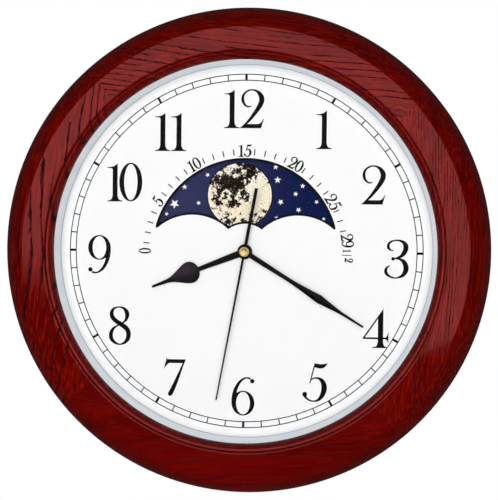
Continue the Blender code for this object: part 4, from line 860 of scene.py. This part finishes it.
FIVE_BOWL = [
    (0.195, 0.5, 0.006), (0.235, 0.575, 0.012), (0.31, 0.615, 0.014), (0.42, 0.61, 0.024),
    (0.51, 0.545, 0.048), (0.56, 0.43, 0.064), (0.56, 0.3, 0.066), (0.51, 0.16, 0.052), (0.42, 0.05, 0.03),
    (0.31, 0.015, 0.015),
    (0.2, 0.03, 0.016), (0.1, 0.1, 0.024), (0.06, 0.17, 0.04),
]
SEVEN_BAR = [(0.07, 0.955), (0.564, 0.955), (0.5, 0.865), (0.1, 0.865)]
SEVEN_SERIF = [(0.058, 1.0), (0.085, 0.94), (0.12, 0.865), (0.05, 0.8), (0, 0.73), (0.02, 0.83), (0.05, 0.93)]
SEVEN_STEM = [
    (0.535, 0.93, 0.012), (0.47, 0.78, 0.02), (0.4, 0.6, 0.03), (0.31, 0.38, 0.043), (0.21, 0.15, 0.053),
    (0.16, 0.058, 0.055),
]
EIGHT = [
    (0.263, 0.99, 0.013), (0.13, 0.95, 0.025), (0.07, 0.85, 0.045), (0.085, 0.73, 0.05), (0.19, 0.62, 0.052),
    (0.33, 0.53, 0.056), (0.46, 0.43, 0.056), (0.515, 0.31, 0.056), (0.495, 0.16, 0.05), (0.41, 0.055, 0.03),
    (0.29, 0.013, 0.014), (0.165, 0.05, 0.028), (0.065, 0.16, 0.045), (0.055, 0.3, 0.045),
    (0.12, 0.43, 0.03), (0.24, 0.51, 0.014), (0.35, 0.57, 0.014), (0.44, 0.65, 0.03), (0.48, 0.78, 0.05),
    (0.455, 0.88, 0.048), (0.38, 0.96, 0.028),
]
NINE_TAIL = [
    (0.5, 0.85, 0.035), (0.53, 0.75, 0.048), (0.538, 0.62, 0.052), (0.525, 0.47, 0.05), (0.485, 0.31, 0.042),
    (0.4, 0.15, 0.032), (0.3, 0.055, 0.022), (0.2, 0.017, 0.016), (0.1, 0.04, 0.024),
]
SIX_TAIL = [(0.588 - x, 1 - y, half) for x, y, half in NINE_TAIL]


def ellipse(x, y, half_width, half_height, steps=48):
    return [(x + half_width * u, y + half_height * v) for u, v in disc_outline(1, steps)]


def ball(x, y, radius):
    """The dot that ends a figure's stroke."""
    return [ellipse(x, y, radius, radius, 20)]


def bowl(x, y):
    """The closed loop of 6 and 9, thick at its sides."""
    return [ellipse(x, y, 0.292, 0.32), ellipse(x, y, 0.185, 0.298)]


# Each figure's open strokes, its closed strokes, and its shapes, which are an edge and then its holes
FIGURES = {
    "0": ([], [], [[ellipse(0.298, 0.5, 0.298, 0.5), ellipse(0.298, 0.5, 0.18, 0.475)]]),
    "1": ([], [], [[ONE]]),
    "2": ([TWO], [], [[TWO_FOOT]]),
    "3": ([THREE_TOP, THREE_FOOT], [], [ball(0.225, 0.508, 0.042)]),
    "4": ([], [], [[shape] for shape in FOUR]),
    "5": ([FIVE_STEM, FIVE_BOWL], [], [[FIVE_FLAG], ball(0.066, 0.19, 0.058)]),
    "6": ([SIX_TAIL], [], [bowl(0.296, 0.32), ball(0.531, 0.9, 0.053)]),
    "7": ([SEVEN_STEM], [], [[SEVEN_BAR], [SEVEN_SERIF], ball(0.158, 0.056, 0.055)]),
    "8": ([], [EIGHT], []),
    "9": ([NINE_TAIL], [], [bowl(0.292, 0.68), ball(0.057, 0.1, 0.053)]),
}


def figure(sign, height, swell, move):
    """One figure's meshes, each a hair higher than the last, so that no two tops share a plane.

    The swell makes all of it fatter, and move takes a point of the figure, in millimetres, to the dial.
    """
    low, high, hair = DIAL_FRONT, DIAL_FRONT + PRINT, 0.002
    lines, loops, shapes = FIGURES[sign]
    made = []
    for points in lines + loops:
        placed = [(*move(x * height, y * height), half * height + swell) for x, y, half in points]
        made.append(stroke(placed, low, high, points in loops))
        high += hair
    for outlines in shapes:
        placed = [[move(x * height, y * height) for x, y in outline] for outline in outlines]
        made.append(plate(placed, low, high, swell))
        high += hair
    return made


def hour_figures():
    """Figures by their left edge and foot; a 1 by its stem's middle."""
    places = [
        ("1", -9.57, 83.55), ("2", -4.13, 83.55), ("1", 52.69, 69.7), ("2", 77.9, 32.8), ("3", 93.9, -16.9),
        ("4", 80.44, -63.75), ("5", 39.87, -101.07), ("6", -8.0, -111.41), ("7", -54.32, -99.02),
        ("8", -92.66, -64.66), ("9", -107.29, -15.94), ("1", -89.09, 33.4), ("0", -86.06, 33.5),
        ("1", -56.55, 67.9), ("1", -45.55, 67.9),
    ]
    made = []
    for sign, left, foot in places:
        made += figure(sign, FIGURE_HEIGHT, FIGURE_SWELL, lambda x, y: (left + x, foot + y))
    piece("hour_figures", join(*made), INK)


def spoke(angle, inner, outer, width):
    """A printed bar that points at the axis."""
    along, aside = Vector(polar(1, angle)), Vector(polar(1, angle + math.pi / 2)) * width / 2
    corners = [along * inner - aside, along * inner + aside, along * outer + aside, along * outer - aside]
    return plate([[tuple(corner) for corner in corners]], DIAL_FRONT, DIAL_FRONT + PRINT)


def minute_track():
    """Two circles with a bar between them at each minute, wider at the hours."""
    made = []
    for radius in (TRACK_OUTER, TRACK_INNER):
        circles = [disc_outline(radius + side * TRACK_LINE / 2, 240) for side in (1, -1)]
        made.append(plate(circles, DIAL_FRONT, DIAL_FRONT + PRINT))
    for minute in range(60):
        width = THIN_BAR if minute % 5 else THICK_BAR
        made.append(spoke(math.tau * minute / 60, TRACK_INNER, TRACK_OUTER, width))
    piece("minute_track", join(*made), INK)


def day_angle(day):
    return math.radians(6.04 * (day - 15.06))


# The widths of the day scale's figures and the gap between two, as shares of their height
WIDTHS = {"0": 0.596, "1": 0.39, "2": 0.612, "5": 0.645, "9": 0.588}
GAP = 0.05


def label(text, angle, foot, height, narrow=0.96):
    """Figures side by side along the day scale, standing on a circle and narrowed."""
    left = -(sum(WIDTHS[sign] for sign in text) + GAP * (len(text) - 1)) / 2
    made = []
    for sign in text:
        start = left + (0.2 if sign == "1" else 0)

        def move(x, y):
            u, v = (x + start * height) * narrow, y + foot
            return (u * math.cos(angle) + v * math.sin(angle), v * math.cos(angle) - u * math.sin(angle))

        made += figure(sign, height, DAY_SWELL, move)
        left += WIDTHS[sign] + GAP
    return made


def day_scale():
    """Bars for the days, figures for every fifth, and 29 1/2 at the end."""
    made = []
    for day in range(30):
        if day % 5 and day != 29:
            made.append(spoke(day_angle(day) - math.radians(0.55), 65.4, 69.5, THIN_BAR))
    made += label("0", math.radians(-90.1), 64.3, DAY_HEIGHT, 0.72)
    made += label("5", day_angle(5), 64.5, DAY_HEIGHT, 0.88)
    for day in range(10, 30, 5):
        made += label(str(day), day_angle(day), 64.3, DAY_HEIGHT)
    made += label("29", math.radians(83.3), 65.6, DAY_HEIGHT, 0.88)
    made += label("1", math.radians(89.0), 66.4, 5.0, 0.7)
    made.append(spoke(math.radians(91.4), 65.6, 72.0, 0.5))
    made += label("2", math.radians(94.1), 67.8, 5.2, 0.8)
    piece("day_scale", join(*made), INK)


def window_line():
    """The black line round the window, with a dot in each tip."""
    outside, inside = 1.0, 0.35
    outlines = [window_outline(-outside), window_outline(inside)]
    line = plate(outlines, DIAL_FRONT, DIAL_FRONT + PRINT + 0.01)
    x, y = meeting_point((-HUMP_X, HUMP_Y), HUMP_R, (0, 0), WINDOW_R)
    spots = [disc_outline(1.15, centre=(side * (abs(x) - 1.9), y + 1.7)) for side in (-1, 1)]
    tips = [plate([spot], DIAL_FRONT - 0.1, DIAL_FRONT + PRINT + 0.014) for spot in spots]
    piece("window_line", join(line, *tips), INK)


glass_and_ring()
dial_sheet()
hour_figures()
minute_track()
day_scale()
window_line()


# The moon disc


def moon_disc():
    """The sky with its two moons."""
    outlines = [disc_outline(MOON_DISC_R, 200), disc_outline(MOON_DISC_HOLE_R, 40)]
    sheet = plate(outlines, MOON_DISC_BACK, MOON_DISC_FRONT)
    piece("sky_disc", sheet, FINISHES["night_blue"], MOON_BODY, ["moon_disc"])
    for number, at in ((1, MOON_AT), (2, MOON_AT + math.pi)):
        centre = polar(MOON_CIRCLE_R, at)
        moon = plate([disc_outline(MOON_R, 96, centre)], MOON_DISC_FRONT, MOON_DISC_FRONT + PRINT)
        piece(f"moon_{number}", moon, MOON_INK, MOON_BODY)
        circles = [disc_outline(MOON_R + 0.4, 96, centre), disc_outline(MOON_R - 0.3, 96, centre)]
        line = plate(circles, MOON_DISC_FRONT, MOON_DISC_FRONT + PRINT + 0.01)
        piece(f"moon_outline_{number}", line, INK, MOON_BODY)


def star(x, y, radius, tilt):
    """A star of five points."""
    radii = (radius, radius * 0.42)
    outline = [polar(radii[i % 2], tilt + math.pi * i / 5, (x, y)) for i in range(10)]
    return plate([outline], MOON_DISC_FRONT, MOON_DISC_FRONT + PRINT)


def stars():
    """Those that the window shows, then a scatter over the rest of the disc."""
    placed = [
        (-26.1, 51.9, 1.5), (-41.8, 43.6, 1.7), (-48.6, 32.0, 3.0), (-32.1, 32.8, 1.5), (-54.0, 25.1, 1.3),
        (21.6, 48.8, 2.2), (38.6, 44.8, 1.6), (33.9, 39.4, 1.6), (23.8, 33.9, 1.9), (48.1, 34.1, 1.4),
        (36.0, 28.6, 1.7), (53.0, 22.6, 1.3), (20.2, 57.5, 1.7), (21.2, 23.0, 1.5),
    ]
    moons = [polar(MOON_CIRCLE_R, MOON_AT + k * math.pi) for k in (0, 1)]
    chance = random.Random(7)
    for _ in range(400):
        x, y = polar(chance.uniform(13, 63), chance.uniform(0, math.tau))
        radius = chance.choice((1.3, 1.4, 1.6, 1.7, 2.0, 2.6))
        in_window = y > -2
        near_moon = min(math.dist((x, y), moon) for moon in moons) < MOON_R + 4
        near_star = min(math.dist((x, y), other[:2]) for other in placed) < 8.5
        if not (in_window or near_moon or near_star):
            placed.append((x, y, radius))
    made = [star(x, y, radius * 1.12, chance.uniform(0, 1.2)) for x, y, radius in placed]
    piece("stars", join(*made), STAR_INK, MOON_BODY)


moon_disc()
stars()


# The hands


def blade(stations, back, edge, crown):
    """A hand's blade along y, from stations of (distance, half width, rise over the edge).

    The crown gives the share of the rise for a place across: 0 in the middle and 1 at the sides.
    """
    across = [i / 6 - 1 for i in range(13)]
    bm = bmesh.new()
    tops, floors = [], []
    for y, width, rise in stations:
        tops.append([bm.verts.new((u * width, y, back + edge + rise * crown(abs(u)))) for u in across])
        floors.append([bm.verts.new((u * width, y, back)) for u in across])
    for i in range(len(stations) - 1):
        for j in range(len(across) - 1):
            bm.faces.new((tops[i][j], tops[i][j + 1], tops[i + 1][j + 1], tops[i + 1][j]))
            bm.faces.new((floors[i][j], floors[i + 1][j], floors[i + 1][j + 1], floors[i][j + 1]))
        for j in (0, -1):
            bm.faces.new((tops[i][j], tops[i + 1][j], floors[i + 1][j], floors[i][j]))
    for i in (0, -1):
        for j in range(len(across) - 1):
            bm.faces.new((tops[i][j], tops[i][j + 1], floors[i][j + 1], floors[i][j]))
    return bm


def dome(u):
    """A round crown."""
    return math.cos(u * math.pi / 2) ** 0.8


def roof(u):
    """Two flat slopes that meet in a crease."""
    return 1 - u


def hour_stations():
    """Stem, pear-shaped domed bulb and thin tip."""
    widest_at, tip_at, bulb, stem, neck = 39.9, 58.0, 7.4, 1.52, 1.25
    flat, swelling = 0.05, 0.85
    stations = [(3.0, 2.4, flat)]
    stations += [(y, 2.4 - 0.88 * (y - 3) / 29, flat) for y in range(8, 32, 5)]
    for i in range(1, 13):
        t = math.pi / 2 * i / 12
        half = max(stem, bulb * math.sin(t))
        stations.append((widest_at - 6.6 * math.cos(t), half, flat + swelling * math.sin(t)))
    for i in range(1, 15):
        share = i / 14
        fullness = (1 + math.cos(math.pi * share**0.86)) / 2
        half = neck + (bulb - neck) * fullness
        stations.append((widest_at + (tip_at - widest_at) * share, half, flat + swelling * fullness))
    return stations + [(61.5, 1.02, 0.05), (67.0, 0.8, 0.04), (67.5, 0.65, 0.03), (67.7, 0.3, 0.02)]


def minute_stations():
    """Stem, long creased leaf with a blunt corner and thin tip."""
    leaf_at, widest_at, tip_at = 36.0, 59.4, 79.0
    flat, crease = 0.08, 0.42
    stations = [(3.0, 1.7, 0.05), (12.0, 1.68, 0.05), (20.0, 1.55, 0.05), (30.0, 1.38, 0.06)]
    for i in range(11):
        share = i / 10
        half = 1.4 + 1.58 * share**1.5
        stations.append((leaf_at + (widest_at - leaf_at) * share, half, flat + crease * share))
    for i in range(1, 11):
        share = i / 10
        half = 0.9 + 2.08 * (1 - share) ** 1.35
        stations.append((widest_at + (tip_at - widest_at) * share, half, flat + crease * (1 - share)))
    return stations + [(88.0, 0.74, 0.06), (93.8, 0.66, 0.05), (94.2, 0.5, 0.04), (94.4, 0.25, 0.03)]


# The second hand from its blunt tail to its tip
SECOND_STATIONS = [
    (-43.5, 0.95, 0.04), (-43.2, 1.1, 0.05), (-20.0, 1.1, 0.06), (-2.0, 1.1, 0.06), (2.0, 0.8, 0.06),
    (40.0, 0.64, 0.06), (80.0, 0.52, 0.05), (101.7, 0.5, 0.05), (102.2, 0.25, 0.03),
]


def boss(inner, outer, back, front):
    """The round plate that holds a hand on its pipe."""
    return spun(eased([(inner, front), (inner, back), (outer, back), (outer, front)], 0.15), 64)


def cap():
    """A brass cap with a rounded rim and a dished front."""
    rim_r, rim_at, front = 0.6, 2.7, CAP_BACK + 1.1
    section = [(0, CAP_BACK), (3.1, CAP_BACK), (3.3, CAP_BACK + 0.2), (3.3, front)]
    section += round_points((rim_at, front), rim_r, 0, 150, 15)
    section += [(1.7, front + 0.13), (1.2, front + 0.06), (0.6, front + 0.02), (0, front)]
    return spun(section, 64)


def hand(name, bm, at, finish, sharp, hub):
    """A blade turned to where it points, and the boss at its root."""
    body = f"{name}_body"
    piece(f"{name}_blade", turn(bm, at), finish, body, [f"{name}_hand"], sharp)
    piece(f"{name}_boss", hub, FINISHES["black_paint"], body)


def hands():
    hour = blade(hour_stations(), HOUR_BACK, 0.4, dome)
    hand("hour", hour, HOUR_AT, HOUR_BLACK, 50, boss(2.85, 5.1, HOUR_BACK - 0.3, HOUR_BACK + 0.6))
    minute = blade(minute_stations(), MINUTE_BACK, 0.4, roof)
    hub = boss(1.9, 4.9, MINUTE_BACK - 0.6, MINUTE_BACK + 0.6)
    hand("minute", minute, MINUTE_AT, FINISHES["black_paint"], 4, hub)
    second = blade(SECOND_STATIONS, SECOND_BACK, 0.35, dome)
    hub = boss(0.75, 3.2, SECOND_BACK - 0.6, SECOND_BACK + 0.6)
    hand("second", second, SECOND_AT, SECOND_BLACK, 50, hub)
    piece("cap", cap(), FINISHES["brass"], "second_body", ["second_hand_cap"])


hands()


# Studio

FLOOR_R = 1.7
FLOOR_HEIGHT = -0.85
CAMERA_EYE = (0.04447, -0.7, -0.13777)
CAMERA_AIM = (0.00231, -0.02, -0.15553)
CAMERA_ROLL = math.radians(0.56)
CAMERA_LENS = 71.89


def look_at(eye, aim, roll=0.0):
    """How a camera or lamp stands that looks from eye to aim; the roll tips its right side up."""
    forward = (Vector(aim) - Vector(eye)).normalized()
    right = forward.cross(Vector((0, 0, 1))).normalized()
    up = right.cross(forward)
    c, s = math.cos(roll), math.sin(roll)
    right, up = right * c + up * s, up * c - right * s
    turned = Matrix((right, up, -forward)).transposed().to_4x4()
    return Matrix.Translation(eye) @ turned


def softbox(name, low, high, distance, radiance, shines):
    """A lamp in a plane before the clock, or behind it at a distance under 0, in metres.

    It fills that plane between two corners (x, height over the axis). One that shines shows in
    lacquer and metal and doesn't light; the others light and don't show.
    """
    lamp = bpy.data.lights.new(name, "AREA")
    lamp.shape = "RECTANGLE"
    lamp.size, lamp.size_y = high[0] - low[0], high[1] - low[1]
    lamp.energy = radiance * math.pi * lamp.size * lamp.size_y
    obj = added(name, lamp)
    centre = Vector(((low[0] + high[0]) / 2, -distance, AXIS_HEIGHT + (low[1] + high[1]) / 2))
    obj.matrix_world = look_at(centre, centre + Vector((0, math.copysign(1, distance), 0)))
    obj.visible_camera = False
    obj.visible_glossy = shines
    obj.visible_diffuse = not shines


def lamps():
    """Even light from before and behind, and panels for the lacquer and metal to mirror."""
    softbox("fill", (-1.1, -0.8), (1.1, 1.2), 2.6, 4.15, False)
    softbox("canopy", (-1.6, -0.06), (1.35, 1.5), 1.5, 2.0, True)
    softbox("canopy_hem", (-1.6, -0.15), (0.75, -0.06), 1.5, 1.4, True)
    softbox("canopy_fringe", (-1.6, -0.26), (0.75, -0.15), 1.5, 0.7, True)
    softbox("side_light", (0.75, -0.55), (1.35, -0.06), 1.5, 2.0, True)
    softbox("fill_behind", (-1.5, -1.0), (1.5, 1.0), -1.8, 0.8, False)
    softbox("shine_behind", (-0.28, -0.28), (0.28, 0.28), -0.8, 1.2, True)


def rays(paint):
    """Whether a ray comes from the camera, from a gloss or through something clear."""
    kinds = ("Is Camera Ray", "Is Glossy Ray", "Is Transmission Ray")
    return [paint.node("ShaderNodeLightPath", output=kind) for kind in kinds]


def studio_floor():
    """Pale paper that fades to white away from the clock, and is dark in the lacquer."""
    mesh = bpy.data.meshes.new("studio_floor")
    bm = bmesh.new()
    bmesh.ops.create_circle(bm, cap_ends=True, segments=96, radius=FLOOR_R)
    bm.to_mesh(mesh)
    bm.free()
    finish = Finish("floor_paper", (0.9, 0.9, 0.9), 0.9, Emission_Strength=1.0)
    fibre = finish.noise(300.0)
    camera, glossy, clear = rays(finish)
    seen = finish.maths("MAXIMUM", finish.maths("MAXIMUM", camera, glossy * 0.01), clear)
    where = finish.node("ShaderNodeTexCoord", output="Object")
    far = finish.vector("LENGTH", where, output="Value").between(0.3 * FLOOR_R, 0.9 * FLOOR_R)
    paper = finish.mix(fibre, (0.88, 0.88, 0.88), (0.92, 0.92, 0.92))
    finish.set(
        Base_Color=finish.mix(glossy, paper, (0.03, 0.03, 0.03)),
        Emission_Color=finish.mix(seen, (0, 0, 0), finish.mix(far, (0.45, 0.45, 0.45), (1, 1, 1))),
    )
    mesh.materials.append(finish.material)
    floor = added("studio_floor", mesh)
    floor.location = (0, 0, FLOOR_HEIGHT)


def backdrop():
    """White to the camera and through the glass, nearly dark in gloss, and a weak even light."""
    world = bpy.data.worlds.new("studio")
    world.use_nodes = True
    bpy.context.scene.world = world
    sky = Paint(world.node_tree)
    camera, glossy, clear = rays(sky)
    seen = sky.maths("MAXIMUM", camera, clear)
    away = sky.node("ShaderNodeTexCoord", output="Generated")
    behind = sky.node("ShaderNodeSeparateXYZ", None, {0: away}, output="Y").between(-0.2, 0.5)
    strength = seen + (1 - seen) * (glossy * (0.01 + 0.012 * behind) + (1 - glossy) * 0.14)
    background = world.node_tree.nodes["Background"]
    sky.feed(background.inputs["Color"], (1, 1, 1))
    sky.feed(background.inputs["Strength"], strength)


def view():
    """The camera, a little to the right of the hands' axis and above it."""
    camera = bpy.data.cameras.new("camera")
    camera.sensor_fit = "HORIZONTAL"
    camera.sensor_width = 36.0
    camera.lens = CAMERA_LENS
    obj = added("camera", camera)
    obj.matrix_world = look_at(CAMERA_EYE, CAMERA_AIM, CAMERA_ROLL)
    bpy.context.scene.camera = obj
    bpy.context.scene.view_settings.view_transform = "Standard"


lamps()
studio_floor()
backdrop()
view()
